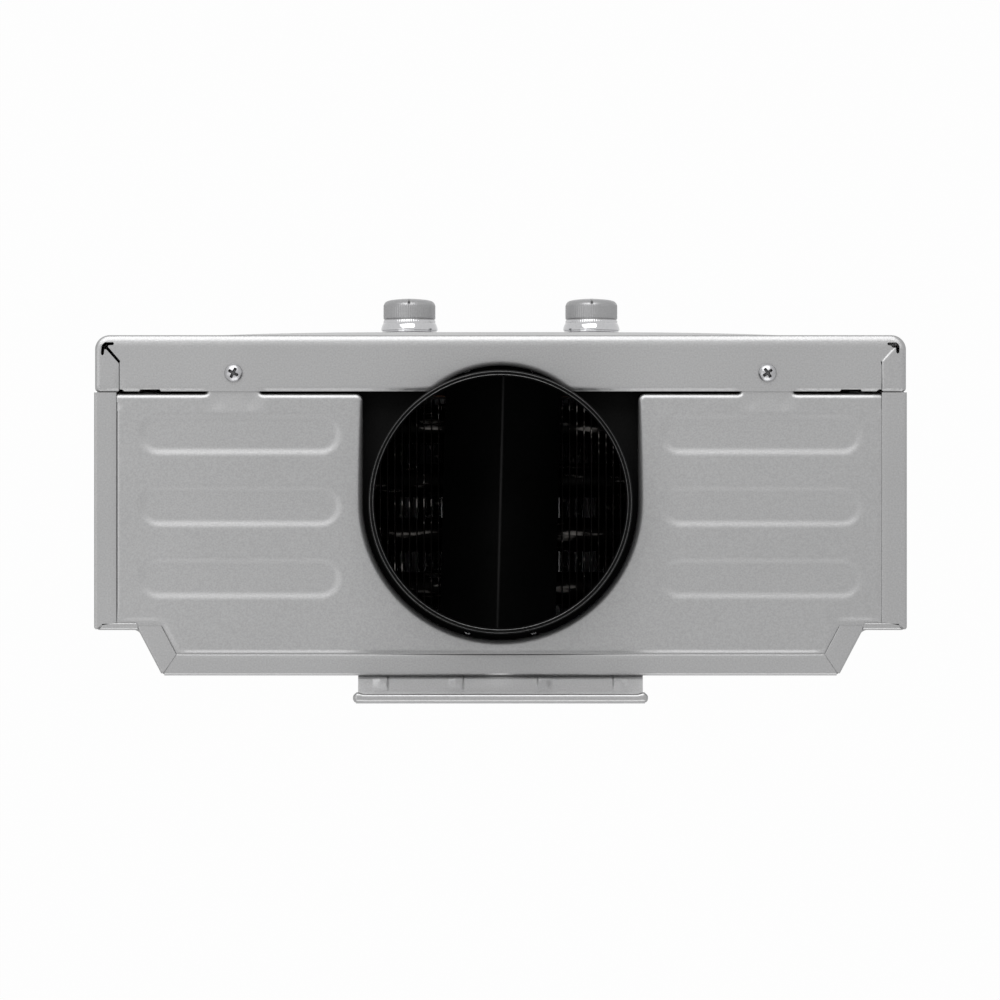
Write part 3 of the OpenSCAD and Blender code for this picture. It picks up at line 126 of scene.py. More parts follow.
def inset_path(path, widths):
    """An open path moved to its right by a width for each run, with its corners kept sharp."""
    lines = []
    for (a, b), width in zip(zip(path, path[1:]), widths):
        a, b = np.array(a), np.array(b)
        along = (b - a) / np.linalg.norm(b - a)
        lines.append((a + width * np.array((along[1], -along[0])), along, np.linalg.norm(b - a)))
    out = [tuple(lines[0][0])]
    for (p, u, _), (q, v, _) in zip(lines, lines[1:]):
        t = np.linalg.solve(np.array((u, -v)).T, q - p)[0]
        out.append(tuple(p + t * u))
    last, along, length = lines[-1]
    out.append(tuple(last + along * length))
    return out


def inside(points, loop):
    """Which of the points lie inside a closed loop."""
    x, y = points[:, 0], points[:, 1]
    found = np.zeros(len(points), bool)
    for (x0, y0), (x1, y1) in zip(loop, list(loop[1:]) + [loop[0]]):
        if y0 == y1:
            continue
        crosses = (y0 > y) != (y1 > y)
        found ^= crosses & (x < (x1 - x0) * (y - y0) / (y1 - y0) + x0)
    return found


def run_distances(points, path):
    """Distance of each point to each run of an open path."""
    out = []
    for a, b in zip(path, path[1:]):
        a, b = np.array(a), np.array(b)
        t = np.clip(((points - a) @ (b - a)) / np.dot(b - a, b - a), 0, 1)
        out.append(np.linalg.norm(points - a - t[:, None] * (b - a), axis=1))
    return np.array(out)


def triangles_over(outer, holes=(), rings=(), spots=(), clear=0.5, lines=()):
    """Points and triangles over a closed outline less its holes, with extra rings, lines and spots."""
    points, edges = [], []
    for loop in [outer, *holes, *rings]:
        start = len(points)
        points.extend(loop)
        edges.extend((start + i, start + (i + 1) % len(loop)) for i in range(len(loop)))
    for line in lines:
        start = len(points)
        points.extend(line)
        edges.extend((start + i, start + i + 1) for i in range(len(line) - 1))
    if len(spots):
        spots = np.array(spots, float)
        fixed = np.array(points, float)
        far = [np.min(np.hypot(*(fixed - spot).T)) > clear for spot in spots]
        points.extend(map(tuple, spots[np.array(far)]))
    made = delaunay_2d_cdt([Vector(p) for p in points], edges, [], 0, 1e-5)
    places = np.array([tuple(v) for v in made[0]])
    faces = np.array([f for f in made[2] if len(f) == 3])
    middles = places[faces].mean(axis=1)
    keep = inside(middles, outer)
    for hole in holes:
        keep &= ~inside(middles, hole)
    return places, faces[keep]


def lattice(x0, x1, y0, y1, pitch):
    """Points on a square lattice."""
    xs = np.arange(x0, x1, pitch)
    ys = np.arange(y0, y1, pitch)
    return [(x, y) for x in xs for y in ys]


# Pieces, with the distances in metres below which points are one and edges are none

WELD = 2e-6
SLIVER = 1e-7


class Skin:
    """The points and faces of one piece, gathered patch by patch."""

    def __init__(self):
        self.points = []
        self.faces = []
        self.kinds = []

    def add(self, points, faces, facing, kind=0):
        """Faces on points, turned so that together they look towards facing, if it is given."""
        start = len(self.points)
        points = [tuple(map(float, p)) for p in points]
        if facing is not None:
            total = 0.0
            for face in faces:
                a, b, c = (np.array(points[i]) for i in face[:3])
                total += float(np.dot(np.cross(b - a, c - a), facing))
            if total < 0:
                faces = [tuple(reversed(face)) for face in faces]
        self.points.extend(points)
        self.faces.extend(tuple(start + i for i in face) for face in faces)
        self.kinds.extend([kind] * len(faces))

    def grid(self, rows, facing=None, closed=False, kind=0):
        """Quads between neighbouring rows of points."""
        wide = len(rows[0])
        faces = []
        for r in range(len(rows) - 1):
            for c in range(wide if closed else wide - 1):
                a = r * wide + c
                b = r * wide + (c + 1) % wide
                faces.append((a, b, b + wide, a + wide))
        self.add([p for one in rows for p in one], faces, facing, kind)

    def fan(self, ring, middle, facing=None, kind=0):
        """Triangles from a closed ring of points to its middle."""
        count = len(ring)
        self.add([*ring, middle], [(i, (i + 1) % count, count) for i in range(count)], facing, kind)

    def build(self, name, slot, nodes=(), finishes=(), body="heater", thickness=0.0, solid=False,
              crease=38):
        """The piece in its slot's finish or its own, riding on a body in the place of CAD nodes."""
        bm = bmesh.new()
        corners = [bm.verts.new(in_frame(p)) for p in self.points]
        for face, kind in zip(self.faces, self.kinds):
            made = bm.faces.new([corners[i] for i in face])
            made.material_index = kind
        bmesh.ops.remove_doubles(bm, verts=bm.verts, dist=WELD)
        bmesh.ops.dissolve_degenerate(bm, edges=bm.edges, dist=SLIVER)
        if solid:
            bmesh.ops.recalc_face_normals(bm, faces=bm.faces)
        if thickness:
            thicken(bm, thickness * MM)
        for face in bm.faces:
            face.smooth = True
        mesh = bpy.data.meshes.new(name)
        bm.to_mesh(mesh)
        bm.free()
        mesh.set_sharp_from_angle(angle=math.radians(crease))
        for finish in finishes or [FINISH[slot]]:
            mesh.materials.append(finish)
        piece = bpy.data.objects.new(name, mesh)
        bpy.context.scene.collection.objects.link(piece)
        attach(piece, body)
        if nodes:
            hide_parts(*nodes)
        return piece


def thicken(bm, depth):
    """Turns a sheet into a plate of that depth behind its faces, closed round its rim."""
    bm.normal_update()
    rim = [edge.link_loops[0] for edge in bm.edges if len(edge.link_loops) == 1]
    rim = [(loop.vert, loop.link_loop_next.vert, loop.face.material_index) for loop in rim]
    front = bm.faces[:]
    behind = {v: bm.verts.new(v.co - v.normal * depth) for v in bm.verts[:]}
    for face in front:
        copy = bm.faces.new([behind[v] for v in reversed(face.verts)])
        copy.material_index = face.material_index
    for a, b, kind in rim:
        side = bm.faces.new((b, a, behind[a], behind[b]))
        side.material_index = kind


def turned(profile, place, segments=96):
    """Rows of a turned shape: profile pairs are radius and height, and place maps x, y, height."""
    angles = np.linspace(0, 2 * math.pi, segments, endpoint=False)
    return [
        [place(r * math.cos(a), r * math.sin(a), h) for a in angles]
        for r, h in profile
    ]


def upright(x, y):
    """Places a turned shape on a vertical axis."""
    return lambda u, v, h: (x + u, y + v, h)


def forward(x, z):
    """Places a turned shape on an axis that points out of the front panel."""
    return lambda u, v, h: (x + u, FRONT - h, z + v)


# Materials

# Near-black colour used inside the flue
FLUE_DARK = (0.012, 0.011, 0.010)
OUTER_SKIN = 0.00005
GRAIN_RANGE = (0.32, 0.68)
# Range of the fine noise over which a finish turns to its bright spots, which paint glints
BARE_AND_GLINT_RANGE = (0.60, 0.68)
CLOUD_RANGE = (0.3, 0.7)
BUMP_DEPTH = 0.0004


def plug(tree, node, sockets):
    """Sets each socket of a node to its value, or links it to another node's output."""
    for place, value in sockets.items():
        if isinstance(value, bpy.types.NodeSocket):
            tree.links.new(value, node.inputs[place])
        else:
            node.inputs[place].default_value = value


def add_node(tree, kind, sockets, **settings):
    """A new shader node with its settings made and its sockets plugged."""
    made = tree.nodes.new("ShaderNode" + kind)
    for name, value in settings.items():
        setattr(made, name, value)
    plug(tree, made, sockets)
    return made


def calculated(tree, operation, *values):
    """The outcome of a math node over numbers and other nodes' outputs."""
    return add_node(tree, "Math", dict(enumerate(values)), operation=operation).outputs["Value"]


def noise(tree, scale, detail, stretch=(1, 1, 1)):
    """A noise in object space, so that it stays on the piece."""
    where = add_node(tree, "TexCoord", {}).outputs["Object"]
    sized = add_node(tree, "Mapping", {"Vector": where, "Scale": stretch}).outputs["Vector"]
    return add_node(tree, "TexNoise", {"Vector": sized, "Scale": scale, "Detail": detail}).outputs["Fac"]


def ramp(tree, source, limits, colours):
    """Colours over a range of a source value."""
    made = add_node(tree, "ValToRGB", {"Fac": source})
    ends = made.color_ramp.elements
    ends[0].position, ends[1].position = limits
    ends[0].color, ends[1].color = ((*c, 1.0) for c in colours)
    return made.outputs["Color"]


def spread(tree, source, limits, results):
    """A source value mapped from one range to another."""
    sockets = {"Value": source, "From Min": limits[0], "From Max": limits[1]}
    sockets.update({"To Min": results[0], "To Max": results[1]})
    return add_node(tree, "MapRange", sockets).outputs["Result"]


def mixed(tree, kind, share, first, second):
    """Two colours mixed."""
    sockets = {"Factor": share, "A": first, "B": second}
    return add_node(tree, "Mix", sockets, data_type="RGBA", blend_type=kind).outputs["Result"]


def surface(name, colour, metal, rough, grain, speck, cloud, stain, bump,
            stretch=(1, 1, 1), gloss=0.5, coat=0.0, bare_and_glint=None):
    """A finish with fine grain, slow colour change, varied roughness, a fine bump and maybe bright spots of
    uncoated metal that also paint glints.
    """
    made = bpy.data.materials.new(name)
    made.use_nodes = True
    tree = made.node_tree
    fine = noise(tree, grain, 2.0, stretch)
    slow = noise(tree, cloud, 4.0)
    dark = tuple(c * (1 - speck) for c in colour)
    light = tuple(min(1.0, c * (1 + speck)) for c in colour)
    # Bright spots: uncoated metal, brightened to paint glints
    limits, peak = (BARE_AND_GLINT_RANGE, bare_and_glint) if bare_and_glint else (GRAIN_RANGE, light)
    base = ramp(tree, fine, limits, (dark, peak))
    tint = ramp(tree, slow, CLOUD_RANGE, ((1 - stain,) * 3, (1.0, 1.0, 1.0)))
    lump = add_node(tree, "Bump", {"Strength": bump, "Distance": BUMP_DEPTH, "Height": fine})
    plug(tree, tree.nodes["Principled BSDF"], {
        "Base Color": mixed(tree, "MULTIPLY", 1.0, base, tint),
        "Roughness": spread(tree, slow, CLOUD_RANGE, rough),
        "Normal": lump.outputs["Normal"],
        "Metallic": metal,
        "Specular IOR Level": gloss,
        "Coat Weight": coat,
    })
    return made


def darkened_within(made, node):
    """A near-black colour on every face of a finish but the outer upright ones of a node's box."""
    tree = made.node_tree
    shader = tree.nodes["Principled BSDF"]
    clean = shader.inputs["Base Color"].links[0].from_socket
    where = add_node(tree, "TexCoord", {}).outputs["Object"]
    apart = add_node(tree, "SeparateXYZ", {"Vector": where}).outputs
    within = [
        calculated(tree, "COMPARE", apart[axis], (low + high) / 2, (high - low) / 2 - OUTER_SKIN)
        for axis, low, high in zip("XY", *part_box(node))
    ]
    near_black = mixed(tree, "MIX", calculated(tree, "MULTIPLY", *within), clean, (*FLUE_DARK, 1.0))
    plug(tree, shader, {"Base Color": near_black})
    return made


SILVER = (0.35, 0.35, 0.352)
# Painted light: the hanger's silver is lighter than the casing's so that its shelf, shaded in the channel
# behind the casing, shows as bright as the plate
HANGER_SILVER_PAINTED_LIGHT = (0.50, 0.50, 0.503)
COPPER_LOOK = ((0.56, 0.27, 0.15), 0.9, (0.30, 0.44), 700, 0.12, 25, 0.25, 0.05)
FINISH = {
    "silver_coat": surface("silver coat", SILVER, 0.85, (0.30, 0.36), 1500, 0.08, 9, 0.03, 0.08),
    "black_coat": surface("black coat", (0.004, 0.004, 0.004), 0.0, (0.5, 0.62), 1800, 0.3, 30, 0.3,
                          0.15, gloss=0.07),
    "zinc": surface("zinc", (0.40, 0.40, 0.41), 0.9, (0.22, 0.32), 500, 0.1, 60, 0.1, 0.04),
    "copper": surface("copper", *COPPER_LOOK),
    "brass": surface("brass", (0.55, 0.40, 0.16), 0.9, (0.3, 0.42), 900, 0.1, 45, 0.15, 0.05),
    "nickel_nut": surface("nickel", (0.56, 0.55, 0.52), 0.95, (0.22, 0.34), 900, 0.08, 70, 0.1, 0.04),
    "stainless": surface("stainless", (0.50, 0.50, 0.51), 0.95, (0.26, 0.4), 900, 0.1, 30, 0.1, 0.05,
                         stretch=(1, 12, 1)),
    "cast_alloy": surface("cast alloy", (0.42, 0.42, 0.43), 0.7, (0.5, 0.65), 700, 0.15, 50, 0.15, 0.3),
    "coil_black": surface("coil wrap", (0.02, 0.02, 0.022), 0.0, (0.45, 0.6), 900, 0.3, 60, 0.2, 0.2),
    "rubber": surface("rubber", (0.025, 0.025, 0.025), 0.0, (0.7, 0.85), 1200, 0.3, 60, 0.3, 0.2,
                      gloss=0.3),
    "knob_silver": surface("knob silver", (0.36, 0.36, 0.365), 0.6, (0.30, 0.36), 1200, 0.06, 60, 0.05,
                           0.03),
    "bezel_chrome": surface("chrome", (0.52, 0.52, 0.53), 1.0, (0.08, 0.13), 900, 0.03, 60, 0.04, 0.01),
    "black_plastic": surface("black plastic", (0.022, 0.022, 0.024), 0.0, (0.42, 0.52), 1600, 0.25, 60,
                             0.15, 0.25),
    "cell_wrap": surface("cell wrap", (0.10, 0.10, 0.11), 0.2, (0.25, 0.35), 700, 0.1, 60, 0.1, 0.03),
    "insulator": surface("ceramic", (0.72, 0.70, 0.66), 0.0, (0.3, 0.42), 900, 0.04, 60, 0.08, 0.05),
    "sensor_steel": surface("sensor steel", (0.45, 0.45, 0.46), 0.9, (0.3, 0.42), 900, 0.1, 60, 0.1, 0.04),
    "dark_lens": surface("dark lens", (0.010, 0.011, 0.013), 0.0, (0.06, 0.10), 500, 0.1, 40, 0.1, 0.0,
                         coat=0.6),
    "circuit_green": surface("circuit green", (0.02, 0.12, 0.05), 0.0, (0.4, 0.5), 900, 0.2, 90, 0.2, 0.1),
}
HANGER_COAT_PAINTED_LIGHT = surface("hanger coat painted light", HANGER_SILVER_PAINTED_LIGHT, 0.85, (0.34, 0.40), 1500, 0.08, 9, 0.03, 0.08)
# Painted shade in the screws' cross recesses, and the dark paint of the knobs' pointer grooves
SHADE_AND_POINTER_PAINT = surface("screw recess shade and pointer paint", (0.09, 0.09, 0.092), 0.8, (0.3, 0.4), 700, 0.3, 60, 0.2, 0.05)
BAFFLE_BLACK = surface("baffle black", (0.003, 0.003, 0.003), 0.0, (0.4, 0.5), 900, 0.3, 30, 0.3, 0.1,
                       gloss=0.2)
# Near black on the exchanger, with bright spots stretched into rows across the fins that paint the glints
# among them
FLUE_DARK_AND_GLINTS = surface("sooty copper", FLUE_DARK, 0.7, (0.35, 0.6), 240, 0.3, 40, 0.4, 0.08,
                 stretch=(0.2, 1, 1), gloss=0.2, bare_and_glint=(0.62, 0.59, 0.56))
# Near black on the burner bars and nozzles, with bright spots that paint glints
BURNER_DARK_AND_GLINTS = surface("dark burner steel with painted glints", (0.020, 0.020, 0.021), 0.6, (0.3, 0.5), 260, 0.4, 40, 0.4, 0.1,
                       gloss=0.3, bare_and_glint=(0.30, 0.29, 0.28))
DARK_STEEL = surface("darkened steel", (0.14, 0.135, 0.13), 0.85, (0.34, 0.48), 900, 0.12, 30, 0.2, 0.05,
                     stretch=(1, 12, 1))
CHAMBER_COPPER = surface("chamber copper", *COPPER_LOOK)
# Painted highlight: a bright metal finish on the two thin edges of the black collar's rim
RIM_PAINTED_HIGHLIGHT = surface("rim painted highlight", (0.12, 0.12, 0.12), 0.9, (0.2, 0.28), 900, 0.3, 30, 0.2, 0.05)


# Top plate

PLATE_TOP = 439.7
PLATE_FRONT = -117.9
PLATE_ROLL = (2.3, 1.6)
CUT_R = 57.7
CUT_ROLL = (2.4, 1.4)
EDGE_DROP = 7.0
TAB_X = 111.6
TAB_HALF = 11.4
TAB_FRONT = -134.0
TAB_SINK = 0.5
TAB_FALL = (106.0, 119.0)
RIB_X = 109.0
RIB_Y = (-100.9, -70.8, -40.7)
RIB_LEN = 85.4
RIB_W = 17.6
RIB_DEPTH = 0.55
RIB_RISE = (-0.7, 3.6)
RIB_GROW = (1.1, 0.7, 0.3, -0.1, -0.5, -0.9, -1.3, -1.7, -2.1, -2.5, -2.9, -3.3, -3.8)
JOGGLE_DEPTH = [0.15, 0.5, 0.5, 0.5, 0.5, 0.5, 0.15]
JOGGLE_WIDTH = [1.6, 3.4, 2.8, 2.4, 2.8, 3.4, 1.6]
JOGGLE_LINES = (-1.2, 0.0, 0.4, 0.8, 1.2, 1.6, 2.1, 2.7, 3.5)
DIMPLE_Y = -114.3
DIMPLE_X = 6.6
DIMPLE_SIZE = (1.5, 2.8)
DIMPLE_DEPTH = 0.16
TAB_FADE = 3.0
PLATE_SIDE = 161.2
PLATE_CORNER = 4.0
PLATE_TUCK = 1.1
RIB_BAND = (-2.2, 4.8)
RIM_BAND = 4.5
FAR = 300.0


def rib_depth_in(points):
    """How far inside the nearest rib's outline each point lies."""
    best = np.full(len(points), -1e9)
    half = RIB_LEN / 2 - RIB_W / 2
    for sign in (-1, 1):
        for y in RIB_Y:
            dx = np.maximum(np.abs(points[:, 0] - sign * RIB_X) - half, 0)
            best = np.maximum(best, RIB_W / 2 - np.hypot(dx, points[:, 1] - y))
    return best


def plate_height(points):
    """Level of the top plate: raised, but joggled under the flanges, with recessed ribs and low tabs."""
    rim = inset_path(OUTLINE, FLANGES)
    closed = rim + [(rim[-1][0], -FAR), (rim[0][0], -FAR)]
    away = np.where(inside(points, closed), run_distances(points, rim), 0.0)
    fall = np.zeros(len(points))
    for distance, depth, width in zip(away, JOGGLE_DEPTH, JOGGLE_WIDTH):
        fall = np.maximum(fall, depth * (1 - ease(distance, 0.0, width)))
    z = PLATE_TOP - fall - RIB_DEPTH * ease(rib_depth_in(points), *RIB_RISE)
    off_tab = np.abs(np.abs(points[:, 0]) - TAB_X) - TAB_HALF
    z -= TAB_SINK * ease(-points[:, 1], *TAB_FALL) * (1 - ease(off_tab, -TAB_FADE, TAB_FADE))
    for at in (TAB_X - DIMPLE_X, TAB_X + DIMPLE_X):
        across = (np.abs(points[:, 0]) - at) / DIMPLE_SIZE[0]
        along = (points[:, 1] - DIMPLE_Y) / DIMPLE_SIZE[1]
        z -= DIMPLE_DEPTH * np.exp(-np.hypot(across, along) ** 2)
    return z


def rib_ring(x, y, grow):
    """One ring of points round a rib."""
    r = RIB_W / 2 + grow
    half = RIB_LEN / 2 - RIB_W / 2
    ends = arc((x + half, y), r, -90, 90, 20) + arc((x - half, y), r, 90, 270, 20)
    return spaced(ends + ends[:1], 5.0)[:-1]


def beside(path, side):
    """Unit directions square to a path at each of its points, to its right for a side of 1."""
    along = np.gradient(path, axis=0)
    along /= np.linalg.norm(along, axis=1)[:, None]
    return side * np.stack((along[:, 1], -along[:, 0]), axis=1)


def edge_rows(path, level, reach, depth, drop, side, steps=9):
    """Rows of a rolled edge whose level, reach and depth vary along the path."""
    out = beside(path, side)
    rows = []
    for k in range(steps + 1):
        a = math.pi / 2 * k / steps
        at = path + out * (reach * math.sin(a))[:, None]
        rows.append(np.column_stack((at, level - depth * (1 - math.cos(a)))))
    end = path + out * reach[:, None]
    for share in (0.4, 1.0):
        rows.append(np.column_stack((end, level - depth - (drop - depth) * share)))
    return rows


def top_sheet():
    """The ribbed top plate with its round cut-out, rolled edges and two screw tabs."""
    ahead = PLATE_FRONT + PLATE_ROLL[0]
    cut = CUT_R + CUT_ROLL[0]
    out_tab = TAB_X + TAB_HALF - PLATE_ROLL[0]
    in_tab = TAB_X - TAB_HALF + PLATE_ROLL[0]
    start = ahead + PLATE_CORNER
    half = [
        (PLATE_SIDE, start, 0), (PLATE_SIDE, ahead, 1.6), (out_tab, ahead, 4.0), (out_tab, TAB_FRONT, 0),
        (in_tab, TAB_FRONT, 0), (in_tab, ahead, 4.0), (cut, ahead, 0.7), (cut, FLUE_Y, 0),
    ]
    left = softened([(-x, y, trim) for x, y, trim in half])
    turn = arc((0.0, FLUE_Y), cut, 180, 0, 90)[1:-1]
    edge = spaced(left, 2.5) + turn + spaced([(-x, y) for x, y in reversed(left)], 2.5)
    side = inset_path(OUTLINE, [PLATE_TUCK] * len(FLANGES))
    side = [(side[0][0], start)] + side[1:-1] + [(side[-1][0], start)]
    outer = edge + spaced(list(reversed(side)), 4.0)
    path = np.array(edge)
    rings = [rib_ring(sign * RIB_X, y, grow) for sign in (-1, 1) for y in RIB_Y for grow in RIB_GROW]
    lines = []
    for grow in JOGGLE_LINES:
        line = spaced(inset_path(OUTLINE, [width + grow for width in FLANGES]), 4.0)
        lines.append([p for p in line if p[1] > start + 0.5])
    spots = np.array(lattice(-166.0, 166.0, -116.0, -2.0, 5.0))
    depth_in = rib_depth_in(spots)
    rim = inset_path(OUTLINE, FLANGES)
    clear_of_ribs = (depth_in < RIB_BAND[0]) | (depth_in > RIB_BAND[1])
    clear_of_rim = run_distances(spots, rim).min(axis=0) > RIM_BAND
    spots = spots[clear_of_ribs & clear_of_rim]
    near = [path - beside(path, 1) * step for step in (0.7, 1.6)]
    tabs = []
    for sign in (-1, 1):
        tabs += lattice(sign * TAB_X - 16.0, sign * TAB_X + 16.0, -120.0, -105.0, 1.2)
    spots = np.concatenate([spots, np.array(tabs), *near])
    spots = spots[inside(spots, outer)]
    places, faces = triangles_over(outer, (), rings, spots, 0.5, lines)
    skin = Skin()
    skin.add(np.column_stack((places, plate_height(places))), faces, (0, 0, 1))
    middle = np.abs(path[:, 0]) < cut + 0.2
    sizes = []
    for cut_size, plate_size in zip(CUT_ROLL, PLATE_ROLL):
        size = np.where(middle, cut_size, plate_size)
        sizes.append(np.convolve(np.pad(size, 2, mode="edge"), np.ones(5) / 5, mode="valid"))
    skin.grid(edge_rows(path, plate_height(path), *sizes, EDGE_DROP, 1), (0, 0, 1))
    skin.build("top_sheet", "silver_coat", ["top_plate"], thickness=SHEET)


# Front cover

COVER_HALF = 169.6
COVER_ROLL = (2.5, 1.2)
COVER_CORNER = 6.0
ARCH_Y = -86.3
ARCH_R = 43.3
ARCH_ROLL = (2.4, 0.8)
DROOP = 0.4
DROOP_WIDTH = 1.7
DROOP_FADE = (TAB_HALF - 1.0, TAB_HALF + 1.5)
CROWN = 6.4
CROWN_HALF = 166.0
CROWN_Z = 278.0
CROWN_RISE = 140.0
NOSE_FALL = 0.36
NOSE_WIDTH = (0.5, 4.5)
LAP = 0.25
LAP_WIDTH = 0.4
LAP_STEPS = (-1.0, -0.4, 0.0, 0.2, LAP_WIDTH, 0.9)
LAP_LINE = [(4.9, 5.2), (10.1, 10.9), (10.1, 22.0)]
LAP_REACH = 14.0
LAP_START = (3.6, 5.6)


def cover_contour(inset):
    """The cover's plan edge from its rear left round the front to its rear right."""
    side = COVER_HALF - inset
    ahead = FRONT + inset
    r = max(0.4, COVER_CORNER - inset)
    left = [(-side + 0.9, COVER_BACK), (-side + 0.25, COVER_BACK - 0.35)]
    left += [(-side, y) for y in np.linspace(COVER_BACK - 1.1, ahead + r, 9)][:-1]
    first = arc((-side + r, ahead + r), r, 180, 270, 10)
    front = [(x, ahead) for x in np.linspace(-side + r, side - r, 96)][1:-1]
    return left + first + front + [(-x, y) for x, y in reversed(left + first)]


def lap_rise(x, y):
    """How much higher the lapped corner of the flange lies on the side away from the light."""
    a, b = COVER_HALF + x, y - FRONT
    if a > LAP_REACH:
        return 0.0
    start, bend, _ = (np.array(p) for p in LAP_LINE)
    along = (bend - start) / np.linalg.norm(bend - start)
    past = float(np.dot(np.array((a, b)) - start, (-along[1], along[0])))
    if b > bend[1]:
        past = bend[0] - a
    return LAP * ease(past, 0.0, LAP_WIDTH) * ease(b, *LAP_START)


def droop(point):
    """A point of the cover's flange, lower near its front and, except at the tabs, near its rear edge."""
    x, y, z = point
    fall = DROOP * ease(y, COVER_BACK - DROOP_WIDTH, COVER_BACK)
    fall *= ease(abs(abs(x) - TAB_X), *DROOP_FADE)
    fall += NOSE_FALL * (1 - ease(y - FRONT, *NOSE_WIDTH))
    return (x, y, z - fall if z > TOP / 2 else z + fall)


def crown(point):
    """A point of the cover's wall, moved out by the front panel's crown."""
    x, y, z = point
    if y > FRONT + 0.1:
        return point
    across = max(0.0, 1 - (x / CROWN_HALF) ** 4)
    upward = max(0.0, 1 - ((z - CROWN_Z) / CROWN_RISE) ** 2)
    return (x, y - CROWN * across * upward, z)


def corner_slits():
    """The relief notches, the open mitre and the seams at the corners of the cover's flange."""
    rear = COVER_BACK - FRONT - 0.06
    open_mitre = [
        (7.7, 2.95), (8.0, 3.55), (7.7, 4.15), (5.7, 4.3), (5.5, 4.9), (10.7, 10.9), (10.4, 11.5),
        (10.35, 12.0), (10.35, rear), (10.03, rear), (10.03, 12.0), (9.9, 11.7), (4.8, 6.0), (4.0, 6.0),
        (3.8, 7.9), (3.3, 8.45), (2.7, 8.2), (2.55, 7.4), (2.75, 5.0), (2.7, 3.6), (3.1, 2.95),
    ]
    closed_mitre = [
        (7.5, 3.1), (7.9, 3.6), (7.6, 4.2), (6.4, 4.4), (5.5, 5.3), (4.3, 5.3), (4.15, 7.2), (3.6, 7.8),
        (2.95, 7.4), (2.8, 6.0), (2.8, 3.8), (3.3, 3.1),
    ]
    seam = [
        (10.1, 10.9), (10.6, 11.0), (10.4, 12.2), (10.25, 13.0), (10.25, rear), (10.1, rear), (10.1, 12.0),
    ]
    loops = [(1, open_mitre), (-1, closed_mitre), (-1, seam)]
    return [[(sign * (COVER_HALF - a), FRONT + b) for a, b in loop] for sign, loop in loops]


def arch_bow(radius):
    """The arch in the rear edge at a radius, from right to left."""
    reach = math.degrees(math.asin((COVER_BACK - ARCH_Y) / radius))
    return arc((0.0, ARCH_Y), radius, reach, -180 - reach, 60)


def rear_edge():
    """The top flange's rear edge on the right half, from the side to the arch, with its notches."""
    deep = COVER_BACK - 0.8
    bow = arch_bow(ARCH_R + ARCH_ROLL[0])
    half = [(159.9, COVER_BACK), (159.3, deep), (158.2, deep), (157.2, COVER_BACK), (151.2, COVER_BACK),
            (150.5, deep), (142.6, deep), (141.9, COVER_BACK), bow[0]]
    return half, bow


def cover_flange(skin, top):
    """One of the cover's two flanges; the top one has the arch and the gap's notches."""
    level = TOP if top else 0.0
    up = 1 if top else -1
    front = cover_contour(COVER_ROLL[0])
    if top:
        half, bow = rear_edge()
        half = spaced([front[-1]] + half, 3.0)
        rear = half[1:] + bow[1:-1] + [(-x, y) for x, y in reversed(half)][:-1]
    else:
        rear = spaced([front[-1], front[0]], 3.0)[1:-1]
    outer = front + rear
    holes = corner_slits() if top else []
    spots = lattice(-166.0, 166.0, FRONT + 4.5, COVER_BACK - 3.0, 4.0)
    for back in (0.4, 0.8, 1.2, 1.7, 2.4):
        spots += [(x, COVER_BACK - back) for x in np.arange(-166.0, 166.0, 2.0)]
    for inset in (0.7, 1.4, 2.1, 2.8, 3.4):
        spots += cover_contour(COVER_ROLL[0] + inset)
    line = [(a - COVER_HALF, b + FRONT) for a, b in LAP_LINE]
    lap = np.array(spaced(line, 0.8))
    spots += [tuple(p) for step in LAP_STEPS for p in lap - np.array((step, -step * 0.9))]
    spots = np.array(spots)
    spots = spots[inside(spots, outer)]
    for hole in holes:
        spots = spots[~inside(spots, hole)]
    places, faces = triangles_over(outer, holes, (), spots, 0.15)
    points = [droop((x, y, level + up * lap_rise(x, y))) for x, y in places]
    skin.add(points, faces, (0, 0, up))
    if top:
        rows = []
        for k in range(9):
            a = math.pi / 2 * min(k, 7) / 7
            r = ARCH_R + ARCH_ROLL[0] * (1 - math.sin(a))
            z = TOP - ARCH_ROLL[1] * (1 - math.cos(a)) - (3.0 if k == 8 else 0.0)
            rows.append([droop((x, y, z)) for x, y in arch_bow(r)])
        skin.grid(rows, (0, 1, 0))


def cover_shell():
    """The pressed front cover with its flanges, rolled edges and crowned panel."""
    skin = Skin()
    cover_flange(skin, True)
    cover_flange(skin, False)
    reach, depth = COVER_ROLL
    roll = [math.pi / 2 * k / 9 for k in range(10)]
    rows = []
    for a in roll:
        z = TOP - depth * (1 - math.cos(a))
        contour = cover_contour(reach * (1 - math.sin(a)))
        rows.append([droop((x, y, z + lap_rise(x, y))) for x, y in contour])
    wall = cover_contour(0.0)
    for z in np.linspace(TOP - depth - NOSE_FALL, depth + NOSE_FALL, 60)[1:-1]:
        rows.append([crown((x, y, z)) for x, y in wall])
    for a in reversed(roll):
        z = depth * (1 - math.cos(a))
        contour = cover_contour(reach * (1 - math.sin(a)))
        rows.append([droop((x, y, z - lap_rise(x, y))) for x, y in contour])
    skin.grid(rows, (0, -1, 0))
    skin.build("cover_shell", "silver_coat", ["front_cover"], thickness=SHEET)


# Rear casing

